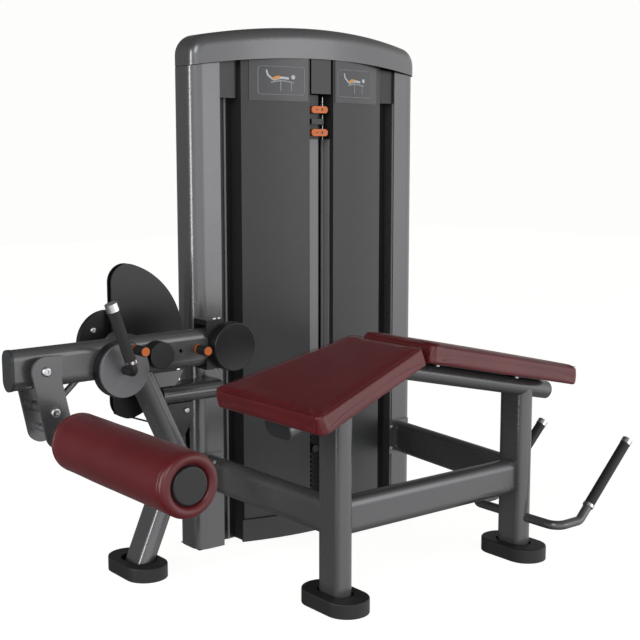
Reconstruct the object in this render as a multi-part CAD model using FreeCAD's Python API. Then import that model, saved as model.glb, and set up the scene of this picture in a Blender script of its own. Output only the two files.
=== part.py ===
import FreeCAD, Part
import math
import os

# Lying (prone) leg curl machine, modelled at full size in millimetres.
# Working frame while modelling: X runs along the bench from the knee end to the head end, Y runs from
# the user's near side towards the weight tower, Z is up, and the origin is on the floor under the front
# post. At the end everything is shifted so that the origin is at the bottom centre of the whole machine.

V = FreeCAD.Vector
X_AXIS = V(1, 0, 0)
Y_AXIS = V(0, 1, 0)
Z_AXIS = V(0, 0, 1)

# ---- driving dimensions ----
TUBE_LONG = 100.0          # flat-oval frame tube, long side
TUBE_SHORT = 50.0          # flat-oval frame tube, short side
TUBE_WALL = 3.0
GAP = 0.3                  # clearance between curved faces on different bodies
RUNNING = 0.05             # radial clearance of a pin or shaft in its bore
PLATE = 8.0                # steel bracket plate

HEAD_POST_X = 655.0        # distance between the two bench posts
BEAM_BOTTOM = 180.0        # underside of the three floor beams
SIDE_BOLT_Y = 513.0        # bolt on the rounded upper edge of the left floor beam
SIDE_BOLT_ANGLE = 37.0     # degrees above the horizontal
FOOT_X = 116.0
FOOT_Y = 206.0
FOOT_H = 38.5
POST_BASE = 8.5            # floor of the socket in each foot

THIGH_SLOPE = 16.0         # degrees, rising towards the head
CHEST_SLOPE = 12.2         # degrees, falling towards the head
THIGH_RAIL_Z = 532.1       # rail centre line height at X = 0
CHEST_RAIL_Z = 628.7
THIGH_RAIL_START = -174.0
CHEST_RAIL_END = 741.0
PAD_PLATE = 4.0
PAD_PLATE_WIDTH = 84.0
PAD_THICK = 50.0
THIGH_PAD_X = (-222.0, 167.0)
THIGH_PAD_HALF = (216.0, 135.0)
CHEST_PAD_X = (193.5, 743.0)
CHEST_PAD_HALF = 145.0

PIVOT_X = -280.0           # knee axis of the movement arm, parallel to Y
PIVOT_Z = 622.0
SHAFT_R = 15.0
ARM_Y = 410.0              # mid plane of the arm beam
ARM_LEFT = -663.0
ARM_RIGHT = -107.0
ROLLER_X = -564.0
ROLLER_Z = 458.0
ROLLER_R = 70.5
ROLLER_Y = (-230.0, 270.0)
SELECTOR_X = -386.0        # axis of the start-position disc on the arm beam
SELECTOR_Z = 596.0
SELECTOR_R = 69.0
START_PIN_X = -355.0
START_PIN_Z = 645.0
WEIGHT_PIN_X = -151.0
COUNTER_X = -54.0
COUNTER_R = 65.0
CAM_R = 220.0
CAM_Y = (606.0, 630.0)

STRUT_Y = 530.0            # mid plane of the bent pivot post
STRUT_FOOT_X = -268.0
KNEE_X = -134.0
KNEE_Z = 309.0
TIE_Z = 482.0

TOWER_X = (-42.0, 782.0)
TOWER_Y = (565.0, 680.0)
COLUMN_WIDTH = 88.0
TOWER_BOTTOM = 2.0
CAP_SIDE_Z = 1369.0        # underside of the arched cap at the columns
CAP_MID_Z = 1400.0         # underside of the cap at the middle
CAP_TOP_Z = 1487.0
CAP_SHOULDER_Z = 1456.0
CAP_CORNER_R = 58.0
COLUMN_CORNER_R = 36.0     # front outer corner of the columns and front rim of the cap
BACK_CORNER_R = 36.0
PANEL_X = (112.0, 326.0)   # left front panel, outer edge and slot edge
PANEL_FRONT_Y = (558.0, 520.0)
RECESS_Y = 608.0
CORNER_BLOCK_Z = 1284.0    # underside of the dark blocks that fill the recess tops

PLACARD_Z = 1278.0         # lower edges of the placards and of the block between them
BADGE_Z = 1302.0
RAIL_TOP_Z = 1172.0        # the bright strips in the slot end below the add-on levers
CAP_SEAM = 2.0             # open seam between the columns and the cap

STACK_Y = 618.0            # plane of the cable, pulleys, stem and guide rods
STACK_WIDTH = 270.0
STACK_DEPTH = 88.0
PLATE_PITCH = 15.0
PLATE_THICK = 14.2
STACK_BOTTOM = 100.0
RESTING_COUNT = 9
SELECTED_COUNT = 11
ROD_SPACING = 164.0
ROD_R = 12.0
PULLEY_R = 53.0            # to the cable's centre line
CABLE_R = 2.5
AXLE_R = 6.0

TOWER_MID_X = (TOWER_X[0] + TOWER_X[1]) / 2.0
STACK_TOP = STACK_BOTTOM + (RESTING_COUNT + SELECTED_COUNT) * PLATE_PITCH
TOP_PLATE = 20.0
HEAD_PULLEY_Z = STACK_TOP + TOP_PLATE + 62.0
TOP_PULLEY_X = TOWER_MID_X - 2.0 * PULLEY_R
ENTRY_PULLEY_X = TOP_PULLEY_X - 2.0 * PULLEY_R
CROSSBAR_Z = (1337.0, 1351.0)
TOP_PULLEY_Z = CROSSBAR_Z[1] + 62.0
CABLE_SLOPE = math.radians(-20.0)
CABLE_START_X = -261.0     # where the drive cable leaves the cam
CABLE_START_Z = 422.8

parts = {}


# ---- helpers ----
def add(name, *shapes):
    """Keep the solids of a sub-part under its node name; a node may hold several like pieces."""
    parts.setdefault(name, []).extend(s for shape in shapes for s in shape.Solids)


def cylinder(base, axis, radius, length):
    return Part.makeCylinder(radius, length, V(*base), V(*axis))


def y_cylinder(x, z, y0, y1, radius):
    return Part.makeCylinder(radius, y1 - y0, V(x, y0, z), Y_AXIS)


def block(x0, x1, y0, y1, z0, z1):
    return Part.makeBox(x1 - x0, y1 - y0, z1 - z0, V(x0, y0, z0))


def oval_face(centre, u, v, long_side, short_side):
    """Flat-oval face with its long side along u and its short side along v."""
    r = short_side / 2.0
    a = long_side / 2.0 - r
    corner = [centre + u * a + v * r, centre - u * a + v * r, centre - u * a - v * r, centre + u * a - v * r]
    left = Part.Arc(corner[1], centre - u * (a + r), corner[2]).toShape()
    right = Part.Arc(corner[3], centre + u * (a + r), corner[0]).toShape()
    top = Part.makeLine(corner[0], corner[1])
    bottom = Part.makeLine(corner[2], corner[3])
    return Part.Face(Part.Wire([top, left, bottom, right]))


def oval_solid(start, end, long_dir, long_side=TUBE_LONG, short_side=TUBE_SHORT):
    axis = end - start
    direction = V(axis).normalize()
    u = long_dir - direction * long_dir.dot(direction)
    u.normalize()
    v = direction.cross(u)
    return oval_face(start, u, v, long_side, short_side).extrude(axis)


def oval_tube(start, end, long_dir, long_side=TUBE_LONG, short_side=TUBE_SHORT, wall=TUBE_WALL):
    outer = oval_solid(start, end, long_dir, long_side, short_side)
    inner = oval_solid(start, end, long_dir, long_side - 2 * wall, short_side - 2 * wall)
    return outer.cut(inner)


def outline_face(points, plane_y):
    """Face in the plane Y = plane_y. A point is (x, z), or (x, z, "arc") for the middle point of an arc."""
    edges = []
    count = len(points)
    i = 0
    while i < count:
        start = points[i]
        following = points[(i + 1) % count]
        a = V(start[0], plane_y, start[1])
        if len(following) == 3:
            last = points[(i + 2) % count]
            middle = V(following[0], plane_y, following[1])
            edges.append(Part.Arc(a, middle, V(last[0], plane_y, last[1])).toShape())
            i += 2
        else:
            edges.append(Part.makeLine(a, V(following[0], plane_y, following[1])))
            i += 1
    return Part.Face(Part.Wire(edges))


def y_plate(points, y0, y1):
    return outline_face(points, y0).extrude(V(0, y1 - y0, 0))


def plan_plate(points, z0, z1):
    """Prism from a plan outline: the same point list, read as (x, y)."""
    face = outline_face(points, 0.0)
    face.rotate(V(0, 0, 0), X_AXIS, -90)
    face.translate(V(0, 0, z0))
    return face.extrude(V(0, 0, z1 - z0))


def half_space(point, normal, size=3000.0):
    """Large block on the side of a plane that its normal points to."""
    box = Part.makeBox(size, size, size, V(-size / 2.0, -size / 2.0, 0))
    turn = FreeCAD.Rotation(Z_AXIS, normal)
    box.Placement = FreeCAD.Placement(point, turn)
    return box


def bolt_head(base, axis, radius=8.0, height=6.0):
    """Domed button-head bolt: axis points out of the surface."""
    direction = V(*axis).normalize()
    foot = V(*base)
    head = Part.makeCylinder(radius, height, foot, direction)
    rim = [e for e in head.Edges if e.Curve.TypeId == "Part::GeomCircle"]
    far = [e for e in rim if (e.Curve.Center - foot).Length > height / 2.0]
    head = head.makeFillet(height * 0.6, far)
    socket = Part.makeCylinder(radius * 0.38, height * 0.5, foot + direction * (height * 0.55), direction)
    return head.cut(socket)


def pipe(points, radius, bends):
    """Round bar or tube along straight runs joined by tangent arcs of the given radii."""
    edges = []
    start = V(*points[0])
    for i in range(1, len(points) - 1):
        corner = V(*points[i])
        before = (corner - V(*points[i - 1])).normalize()
        after = (V(*points[i + 1]) - corner).normalize()
        half_turn = before.getAngle(after) / 2.0
        setback = bends[i - 1] * math.tan(half_turn)
        first = corner - before * setback
        last = corner + after * setback
        inward = (after - before).normalize()
        centre = corner + inward * (bends[i - 1] / math.cos(half_turn))
        middle = centre - inward * bends[i - 1]
        edges.append(Part.makeLine(start, first))
        edges.append(Part.Arc(first, middle, last).toShape())
        start = last
    edges.append(Part.makeLine(start, V(*points[-1])))
    wire = Part.Wire(edges)
    direction = (V(*points[1]) - V(*points[0])).normalize()
    ring = Part.Wire(Part.makeCircle(radius, V(*points[0]), direction))
    return wire.makePipeShell([ring], True, True)


def pulley(x, z):
    """Grooved cable pulley about an axis parallel to Y, with a running bore."""
    half = 7.0
    rim = PULLEY_R + 4.0
    groove = PULLEY_R - CABLE_R - GAP
    web = 4.0
    profile = [V(AXLE_R + RUNNING, -half, 0), V(14, -half, 0), V(14, -web, 0), V(groove - 8, -web, 0),
               V(groove - 8, -half, 0), V(rim, -half, 0), V(groove, -2.8, 0), V(groove, 2.8, 0),
               V(rim, half, 0), V(groove - 8, half, 0), V(groove - 8, web, 0), V(14, web, 0),
               V(14, half, 0), V(AXLE_R + RUNNING, half, 0)]
    face = Part.Face(Part.makePolygon(profile + [profile[0]]))
    wheel = face.revolve(V(0, 0, 0), Y_AXIS, 360)
    wheel.translate(V(x, STACK_Y, z))
    return wheel


def pulley_fork(x, z, z_far, width=44.0):
    """Two cheek plates and the axle of a pulley; the cheeks run to z_far."""
    low = min(z - width / 2.0, z_far)
    high = max(z + width / 2.0, z_far)
    cheeks = []
    for y0 in (STACK_Y - 12.5, STACK_Y + 8.5):
        cheeks.append(block(x - width / 2.0, x + width / 2.0, y0, y0 + 4.0, low, high))
    axle = y_cylinder(x, z, STACK_Y - 12.5, STACK_Y + 12.5, AXLE_R)
    return cheeks[0].fuse([cheeks[1], axle])


# ---- slopes of the two pad rails ----
thigh_tan = math.tan(math.radians(THIGH_SLOPE))
chest_tan = math.tan(math.radians(CHEST_SLOPE))
thigh_dir = V(math.cos(math.radians(THIGH_SLOPE)), 0, math.sin(math.radians(THIGH_SLOPE)))
thigh_up = V(-thigh_dir.z, 0, thigh_dir.x)
chest_dir = V(math.cos(math.radians(CHEST_SLOPE)), 0, -math.sin(math.radians(CHEST_SLOPE)))
chest_up = V(-chest_dir.z, 0, chest_dir.x)
peak_x = (CHEST_RAIL_Z - THIGH_RAIL_Z) / (thigh_tan + chest_tan)
peak = V(peak_x, 0, THIGH_RAIL_Z + thigh_tan * peak_x)


def thigh_point(x, y, height):
    """Point above the thigh rail's centre line: height is measured square to the rail."""
    base = V(x, y, THIGH_RAIL_Z + thigh_tan * x)
    return base + thigh_up * height


def chest_point(x, y, height):
    base = V(x, y, CHEST_RAIL_Z - chest_tan * x)
    return base + chest_up * height


# ---- bench frame ----
def post_solid(x, top):
    return oval_solid(V(x, 0, POST_BASE), V(x, 0, top), Y_AXIS)


def build_rails():
    overrun = 60.0
    start = thigh_point(THIGH_RAIL_START, 0, 0)
    end = chest_point(CHEST_RAIL_END, 0, 0)
    mitre = (thigh_dir + chest_dir).normalize()
    thigh = oval_tube(start, peak + thigh_dir * overrun, Y_AXIS).cut(half_space(peak, mitre))
    chest = oval_tube(peak - chest_dir * overrun, end, Y_AXIS).cut(half_space(peak, mitre * -1))
    add("pad_rails", thigh)
    add("pad_rails", chest)
    cap = 4.0
    add("rail_end_caps",
        oval_solid(start - thigh_dir * cap, start, Y_AXIS),
        oval_solid(end, end + chest_dir * cap, Y_AXIS))
    return (oval_solid(start, peak + thigh_dir * overrun, Y_AXIS),
            oval_solid(peak - chest_dir * overrun, end, Y_AXIS))


def build_posts(thigh_rail, chest_rail):
    tall = 560.0
    inner_long = TUBE_LONG - 2 * TUBE_WALL
    inner_short = TUBE_SHORT - 2 * TUBE_WALL
    for x, rail in ((0.0, thigh_rail), (HEAD_POST_X, chest_rail)):
        post = post_solid(x, tall)
        hollow = oval_solid(V(x, 0, POST_BASE), V(x, 0, tall), Y_AXIS, inner_long, inner_short)
        post = post.cut(hollow).cut(rail)
        add("bench_posts", sorted(post.Solids, key=lambda s: s.BoundBox.ZMin)[0])


def build_floor_beams():
    mid = BEAM_BOTTOM + TUBE_LONG / 2.0
    inside = 60.0
    front = post_solid(0.0, 500.0)
    head = post_solid(HEAD_POST_X, 450.0)
    centre = oval_tube(V(0, 0, mid), V(HEAD_POST_X, 0, mid), Z_AXIS).cut(front).cut(head)
    add("floor_beams", sorted(centre.Solids, key=lambda s: -s.Volume)[0])
    flange_y = TOWER_Y[0] - 6.0
    left = oval_tube(V(0, 0, mid), V(0, flange_y, mid), Z_AXIS).cut(front)
    add("floor_beams", sorted(left.Solids, key=lambda s: -s.Volume)[0])
    splay_end = V(TOWER_X[1] - COLUMN_WIDTH / 2.0 - 12.0, flange_y + inside, mid)
    right = oval_tube(V(HEAD_POST_X, 0, mid), splay_end, Z_AXIS)
    right = right.cut(head).cut(half_space(V(0, flange_y, 0), Y_AXIS))
    add("floor_beams", sorted(right.Solids, key=lambda s: -s.Volume)[0])
    flange_x = (0.0, HEAD_POST_X + (splay_end.x - HEAD_POST_X) * flange_y / splay_end.y)
    half_wide = 40.0
    half_tall = TUBE_LONG / 2.0 + 4.0
    bolt_r = 5.5
    plates = []
    bolts = []
    for x in flange_x:
        plates.append(block(x - half_wide, x + half_wide, flange_y, TOWER_Y[0], mid - half_tall, mid + half_tall))
        for dz in (-34, 34):
            for dx in (-33, 33):
                bolts.append(bolt_head((x + dx, flange_y, mid + dz), (0, -1, 0), bolt_r, 4.0))
    lean = math.radians(SIDE_BOLT_ANGLE)
    outward = V(-math.cos(lean), 0, math.sin(lean))
    crown = V(0, SIDE_BOLT_Y, mid + (TUBE_LONG - TUBE_SHORT) / 2.0)
    bolts.append(bolt_head(tuple(crown + outward * (TUBE_SHORT / 2.0)), tuple(outward), 7.0, 5.0))
    add("mount_plates", *plates)
    add("frame_bolts", *bolts)


def build_foot(x, y, pocket_x, pocket_len):
    foot = oval_solid(V(x, y, 0), V(x, y, FOOT_H), Y_AXIS, FOOT_Y, FOOT_X)
    top = [e for e in foot.Edges if e.BoundBox.ZMin > FOOT_H - 0.1]
    foot = foot.makeFillet(4.0, top)
    pocket = oval_solid(V(pocket_x, y, POST_BASE), V(pocket_x, y, FOOT_H + 1), Y_AXIS, TUBE_LONG + 12, pocket_len)
    add("rubber_feet", foot.cut(pocket))


def build_pivot_post():
    lower_dir = V(KNEE_X - STRUT_FOOT_X, 0, KNEE_Z)
    upper_dir = V(PIVOT_X - KNEE_X, 0, PIVOT_Z - KNEE_Z)
    foot = V(STRUT_FOOT_X, STRUT_Y, 0)
    knee = V(KNEE_X, STRUT_Y, KNEE_Z)
    reach = 0.2
    lower = oval_tube(foot - lower_dir * reach, knee + lower_dir * reach, Y_AXIS)
    lower = lower.cut(half_space(knee, Z_AXIS)).cut(half_space(V(0, 0, POST_BASE), Z_AXIS * -1))
    upper = oval_tube(knee - upper_dir * reach, knee + upper_dir, Y_AXIS)
    upper = upper.cut(half_space(knee, Z_AXIS * -1))
    housing_r = 36.0
    housing = y_cylinder(PIVOT_X, PIVOT_Z, STRUT_Y - 50, STRUT_Y + 60, housing_r)
    upper = upper.cut(housing)
    add("pivot_post", lower)
    add("pivot_post", sorted(upper.Solids, key=lambda s: -s.Volume)[0])
    bore = y_cylinder(PIVOT_X, PIVOT_Z, STRUT_Y - 60, STRUT_Y + 70, SHAFT_R + 8)
    add("pivot_housing", housing.cut(bore))
    rings = []
    for y0 in (STRUT_Y - 50, STRUT_Y + 44):
        ring = y_cylinder(PIVOT_X, PIVOT_Z, y0, y0 + 16, SHAFT_R + 8)
        rings.append(ring.cut(y_cylinder(PIVOT_X, PIVOT_Z, y0 - 1, y0 + 17, SHAFT_R + RUNNING)))
    add("pivot_housing", *rings)
    return oval_solid(knee - upper_dir * reach, knee + upper_dir, Y_AXIS)


def build_tie(upper_strut, left_column):
    tie_y = STRUT_Y + 6
    start = V(KNEE_X - 60, tie_y, TIE_Z)
    end = V(-6, tie_y, TIE_Z)
    tie = oval_tube(start, end, Y_AXIS).cut(upper_strut).cut(left_column)
    add("pivot_post", sorted(tie.Solids, key=lambda s: -s.Volume)[0])
    stop = oval_solid(end, end + V(4, 0, 0), Y_AXIS).cut(left_column)
    add("pivot_post", stop.Solids[0])
    top = TIE_Z + TUBE_SHORT / 2.0
    gusset = y_plate([(-225, top), (-148, top), (-122, top + 40), (-225, top + 40)],
                     STRUT_Y - 26, STRUT_Y - 26 + PLATE)
    add("mount_plates", sorted(gusset.cut(upper_strut).Solids, key=lambda s: -s.BoundBox.XMax)[0])
    low = TIE_Z - TUBE_SHORT / 2.0
    bracket = y_plate([(-200, low), (-96, low), (-98, low - 30), (-112, low - 70, "arc"), (-128, low - 96),
                       (-200, low - 96)], STRUT_Y - 30, STRUT_Y - 20)
    add("mount_plates", sorted(bracket.cut(upper_strut).Solids, key=lambda s: -s.BoundBox.XMax)[0])
    add("frame_bolts", bolt_head((-118, STRUT_Y - 30, low - 22), (0, -1, 0), 8.0, 6.0))


# ---- pads ----
def pad_solid(outline, up, fillet_r):
    """Prism square to its rail from four plan corners with rounded corners and a rounded top edge."""
    edges = []
    count = len(outline)
    for i in range(count):
        corner, radius = outline[i]
        before = (corner - outline[i - 1][0]).normalize()
        after = (outline[(i + 1) % count][0] - corner).normalize()
        half_turn = before.getAngle(after) / 2.0
        setback = radius * math.tan(half_turn)
        inward = (after - before).normalize()
        centre = corner + inward * (radius / math.cos(half_turn))
        edges.append((corner - before * setback, centre - inward * radius, corner + after * setback))
    segments = []
    for i in range(count):
        first, middle, last = edges[i]
        segments.append(Part.Arc(first, middle, last).toShape())
        segments.append(Part.makeLine(last, edges[(i + 1) % count][0]))
    base = Part.Face(Part.Wire(segments))
    solid = base.extrude(up * PAD_THICK)
    start = outline[0][0]
    top = [e for e in solid.Edges if all((v.Point - start).dot(up) > PAD_THICK - 0.1 for v in e.Vertexes)]
    return solid.makeFillet(fillet_r, top)


def build_pads():
    seat = TUBE_SHORT / 2.0 + PAD_PLATE
    lean = PAD_THICK * math.sin(math.radians(THIGH_SLOPE))
    x0, x1 = THIGH_PAD_X
    foot_shift = lean + seat * math.sin(math.radians(THIGH_SLOPE))
    w0, w1 = THIGH_PAD_HALF
    corners = [(thigh_point(x0 + foot_shift, -w0, seat), 22.0), (thigh_point(x1 + foot_shift, -w1, seat), 14.0),
               (thigh_point(x1 + foot_shift, w1, seat), 26.0), (thigh_point(x0 + foot_shift, w0, seat), 18.0)]
    add("thigh_pad", pad_solid(corners, thigh_up, 9.0))
    lean = PAD_THICK * math.sin(math.radians(CHEST_SLOPE))
    x0, x1 = CHEST_PAD_X
    foot_shift = lean + seat * math.sin(math.radians(CHEST_SLOPE))
    w = CHEST_PAD_HALF
    corners = [(chest_point(x0 - foot_shift, -w, seat), 18.0), (chest_point(x1 - foot_shift, -w, seat), 9.0),
               (chest_point(x1 - foot_shift, w, seat), 10.0), (chest_point(x0 - foot_shift, w, seat), 42.0)]
    add("chest_pad", pad_solid(corners, chest_up, 6.0))

    half = PAD_PLATE_WIDTH / 2.0
    low = TUBE_SHORT / 2.0
    bolts = []
    for name, point, up, direction, span, stations in (
            ("pad_plates", thigh_point, thigh_up, thigh_dir, (-150.0, 140.0), (-110.0, 90.0)),
            ("pad_plates", chest_point, chest_up, chest_dir, (215.0, 700.0), (290.0, 590.0))):
        a = point(span[0], -half, low)
        b = point(span[1], -half, low)
        plate = Part.Face(Part.makePolygon([a, b, b + V(0, 2 * half, 0), a + V(0, 2 * half, 0), a]))
        plate = plate.extrude(up * PAD_PLATE)
        for x in stations:
            tab = 20.0
            wide = half + 22.0
            a = point(x - tab, -wide, low)
            b = point(x + tab, -wide, low)
            ear = Part.Face(Part.makePolygon([a, b, b + V(0, 2 * wide, 0), a + V(0, 2 * wide, 0), a]))
            plate = plate.fuse(ear.extrude(up * PAD_PLATE))
            for side in (-1, 1):
                base = point(x, side * (half + 10.0), low)
                bolts.append(bolt_head(tuple(base), tuple(up * -1), 6.5, 5.0))
        add(name, plate.removeSplitter())
    add("frame_bolts", *bolts)


# ---- hand grips at the head end ----
def build_head_grips():
    tube_r = 12.7
    tube_z = 116.0
    reach = 158.0
    bend = 34.0
    turn_x = 781.0
    rise = math.radians(44.5)
    up = V(math.cos(rise), 0, math.sin(rise))
    grip_base = V(turn_x, 0, 147.0)
    corner_x = grip_base.x - (grip_base.z - tube_z) / math.tan(rise)
    grip_start = 12.0
    grip_length = 214.0
    post = post_solid(HEAD_POST_X, 450.0)
    caps = []
    for side, name in ((-1, "near"), (1, "far")):
        start = (HEAD_POST_X, 0, tube_z)
        corner = (HEAD_POST_X, side * reach, tube_z)
        rise_from = (corner_x, side * reach, tube_z)
        base = grip_base + V(0, side * reach, 0)
        end = base + up * (grip_start + grip_length + 8)
        bar = pipe([start, corner, rise_from, tuple(end)], tube_r, [bend, 26.0])
        bar = sorted(bar.cut(post).Solids, key=lambda s: -s.Volume)[0]
        add("head_grip_tubes", bar)
        sleeve_start = base + up * grip_start
        sleeve = Part.makeCylinder(14.5, grip_length, sleeve_start, up)
        sleeve = sleeve.cut(Part.makeCylinder(tube_r, grip_length, sleeve_start, up))
        add("head_grips", sleeve)
        ring = Part.makeCylinder(16.0, 8.0, sleeve_start - up * 8, up)
        caps.append(ring.cut(Part.makeCylinder(tube_r, 8.0, sleeve_start - up * 8, up)))
        tip = Part.makeCylinder(15.5, 16.0, sleeve_start + up * grip_length, up)
        tip = tip.cut(Part.makeCylinder(tube_r, 8.0, sleeve_start + up * grip_length, up))
        caps.append(tip)
    add("head_grip_caps", *caps)


# ---- weight tower ----
def tower_plan(inset=0.0):
    """Plan of the arched tower head: a bowed front and a flat back, wider than the tower at each side."""
    bow = PANEL_FRONT_Y[1] - 6.0
    half = TOWER_MID_X - TOWER_X[0]
    drop = TOWER_Y[0] - bow
    radius = (half * half + drop * drop) / (2.0 * drop)
    wide = half + 20.0
    end = bow + radius - math.sqrt(radius * radius - wide * wide) + inset
    back = TOWER_Y[1] - inset
    left = TOWER_MID_X - wide
    right = TOWER_MID_X + wide
    return [(left, end), (TOWER_MID_X, bow + inset, "arc"), (right, end), (right, back), (left, back)]


def cap_front(inset=0.0, drop=0.0):
    """Front outline of the arched cap: upright sides, tangent corner arcs and one long arch."""
    x0 = TOWER_X[0] + inset
    x1 = TOWER_X[1] - inset
    top = CAP_TOP_Z - inset
    shoulder_x = 52.0
    span = TOWER_MID_X - TOWER_X[0] - shoulder_x
    rise = CAP_TOP_Z - CAP_SHOULDER_Z
    arch_r = (span * span + rise * rise) / (2.0 * rise) - inset
    arch_z = top - arch_r
    r = CAP_CORNER_R - inset
    run = TOWER_MID_X - x0 - r
    corner_z = arch_z + math.sqrt((arch_r - r) ** 2 - run ** 2)
    lean = math.atan2(corner_z - arch_z, run)
    points = []
    for side in (-1, 1):
        cx = TOWER_MID_X + side * run
        angle = lean / 2.0
        middle = (cx + side * r * math.cos(angle), corner_z + r * math.sin(angle), "arc")
        touch = (cx + side * r * math.cos(lean), corner_z + r * math.sin(lean))
        points.append((middle, touch, corner_z))
    (left_mid, left_touch, z), (right_mid, right_touch, z) = points
    return [(x0, CAP_SIDE_Z - drop), (x0, z), left_mid, left_touch, (TOWER_MID_X, top, "arc"), right_touch,
            right_mid, (x1, z), (x1, CAP_SIDE_Z - drop), (TOWER_MID_X, CAP_MID_Z - drop, "arc")]


def cap_block(inset=0.0, drop=0.0):
    """Solid of the arched cap with a large rounding along its front and back rims."""
    block_shape = plan_plate(tower_plan(inset), CAP_SIDE_Z - 60, CAP_TOP_Z + 20)
    solid = block_shape.common(y_plate(cap_front(inset, drop), TOWER_Y[0] - 100, TOWER_Y[1] + 20))
    solid = solid.Solids[0]
    for back, radius in ((False, COLUMN_CORNER_R - inset), (True, BACK_CORNER_R - inset)):
        rim = []
        for e in solid.Edges:
            box = e.BoundBox
            level = box.YMin > TOWER_Y[1] - inset - 0.5
            ahead = box.YMax < TOWER_Y[0] + inset + 2.0
            low = abs(e.CenterOfMass.x - TOWER_MID_X) < 200 and e.CenterOfMass.z < CAP_MID_Z + 5
            if (level if back else ahead) and not low:
                rim.append(e)
        solid = solid.makeFillet(radius, rim)
    return solid


def column_plan(side, inset=0.0):
    """Plan outline of one column; side is -1 for the left column and 1 for the right one."""
    r = COLUMN_CORNER_R
    k = r * (1 - math.sqrt(0.5))
    back_r = BACK_CORNER_R
    kb = back_r * (1 - math.sqrt(0.5))
    front = TOWER_Y[0] + inset
    back = TOWER_Y[1] - inset
    near = COLUMN_WIDTH - inset
    far = inset
    points = [(far, front + r), (far + k, front + k, "arc"), (far + r, front), (near, front), (near, back),
              (far + back_r, back), (far + kb, back - kb, "arc"), (far, back - back_r)]
    if side < 0:
        return [(TOWER_X[0] + p[0],) + tuple(p[1:]) for p in points]
    return [(TOWER_X[1] - p[0],) + tuple(p[1:]) for p in points]


def cross_member(y0, y1, z0, z1):
    """Steel member between the columns, narrower where it reaches forward between the panels' returns."""
    behind = block(TOWER_X[0] + COLUMN_WIDTH, TOWER_X[1] - COLUMN_WIDTH, RECESS_Y + 4, y1, z0, z1)
    inside = PANEL_X[0] + 5
    ahead = block(inside, 2 * TOWER_MID_X - inside, y0, RECESS_Y + 4, z0, z1)
    return behind.fuse(ahead).removeSplitter()


def below_cap(solid, cap_outer):
    """Largest piece of a tower part that is left under the arched cap."""
    return sorted(solid.cut(cap_outer).Solids, key=lambda s: -s.Volume)[0]


def build_tower():
    cap_outer = cap_block()
    add("tower_cap", cap_outer.cut(cap_block(5.0, 30.0)))

    seam = cap_outer.copy()
    seam.translate(V(0, 0, -CAP_SEAM))
    solids = {}
    for side, name in ((-1, "left_column"), (1, "right_column")):
        outer = plan_plate(column_plan(side), TOWER_BOTTOM, CAP_MID_Z)
        hollow = plan_plate(column_plan(side, TUBE_WALL), TOWER_BOTTOM, CAP_MID_Z)
        column = below_cap(outer.cut(hollow), seam)
        if side < 0:
            slot_z = cable_height(TOWER_X[0])
            slot = block(TOWER_X[0] - 5, TOWER_X[0] + COLUMN_WIDTH + 5, STACK_Y - 12, STACK_Y + 12,
                         slot_z - 55, slot_z + 22)
            column = column.cut(slot)
        add("tower_columns", column)
        solids[name] = outer

    feet = []
    for x0 in (TOWER_X[0] + 6, TOWER_X[1] - COLUMN_WIDTH + 6):
        feet.append(block(x0, x0 + COLUMN_WIDTH - 12, TOWER_Y[0] + 8, TOWER_Y[1] - 8, 0, TOWER_BOTTOM))
    add("rubber_feet", *feet)

    inner_left = TOWER_X[0] + COLUMN_WIDTH
    inner_right = TOWER_X[1] - COLUMN_WIDTH
    add("tower_inner", cross_member(578, TOWER_Y[1] - 12, 12, 62))
    rear = block(inner_left, inner_right, TOWER_Y[1] - 8, TOWER_Y[1] - 4, TOWER_BOTTOM, CAP_MID_Z)
    add("tower_inner", below_cap(rear, cap_outer))
    crossbar = cross_member(584, 652, *CROSSBAR_Z)
    for x in (TOP_PULLEY_X - PULLEY_R, TOP_PULLEY_X + PULLEY_R):
        crossbar = crossbar.cut(cylinder((x, STACK_Y, CROSSBAR_Z[0] - 1), (0, 0, 1), 9.0, 20.0))
    add("tower_inner", crossbar)

    strips = []
    trims = []
    sheet = 3.0
    right_recess = 2 * TOWER_MID_X - PANEL_X[0]
    for x0, x1 in ((inner_left, PANEL_X[0]), (right_recess, inner_right)):
        strip = block(x0, x1, RECESS_Y, RECESS_Y + sheet, TOWER_BOTTOM, CAP_MID_Z)
        strips.append(below_cap(strip, cap_outer))
        filler = block(x0, x1, TOWER_Y[0] + 8, RECESS_Y, CORNER_BLOCK_Z, CAP_MID_Z)
        strips.append(below_cap(filler, cap_outer))
    left_trim = inner_left + 39.0
    trims.append(block(left_trim, left_trim + 6, RECESS_Y - sheet, RECESS_Y, TOWER_BOTTOM, CORNER_BLOCK_Z))
    trims.append(block(inner_right - sheet, inner_right, TOWER_Y[0] + 4, TOWER_Y[0] + 8, TOWER_BOTTOM,
                       CORNER_BLOCK_Z))
    add("recess_strips", *strips)
    add("trim_strips", *trims)
    build_panels(cap_outer)
    return solids


def panel_y(x):
    """Front surface of the bowed panels at a distance x from the tower's middle, as a shallow arc."""
    half = TOWER_MID_X - PANEL_X[0]
    slot = TOWER_MID_X - PANEL_X[1]
    drop = PANEL_FRONT_Y[0] - PANEL_FRONT_Y[1]
    radius = (half * half - slot * slot + drop * drop) / (2.0 * drop)
    centre_y = PANEL_FRONT_Y[1] + math.sqrt(radius * radius - slot * slot)
    return centre_y - math.sqrt(radius * radius - x * x)


def mirror_x(points):
    return [(2 * TOWER_MID_X - p[0],) + tuple(p[1:]) for p in points]


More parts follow.
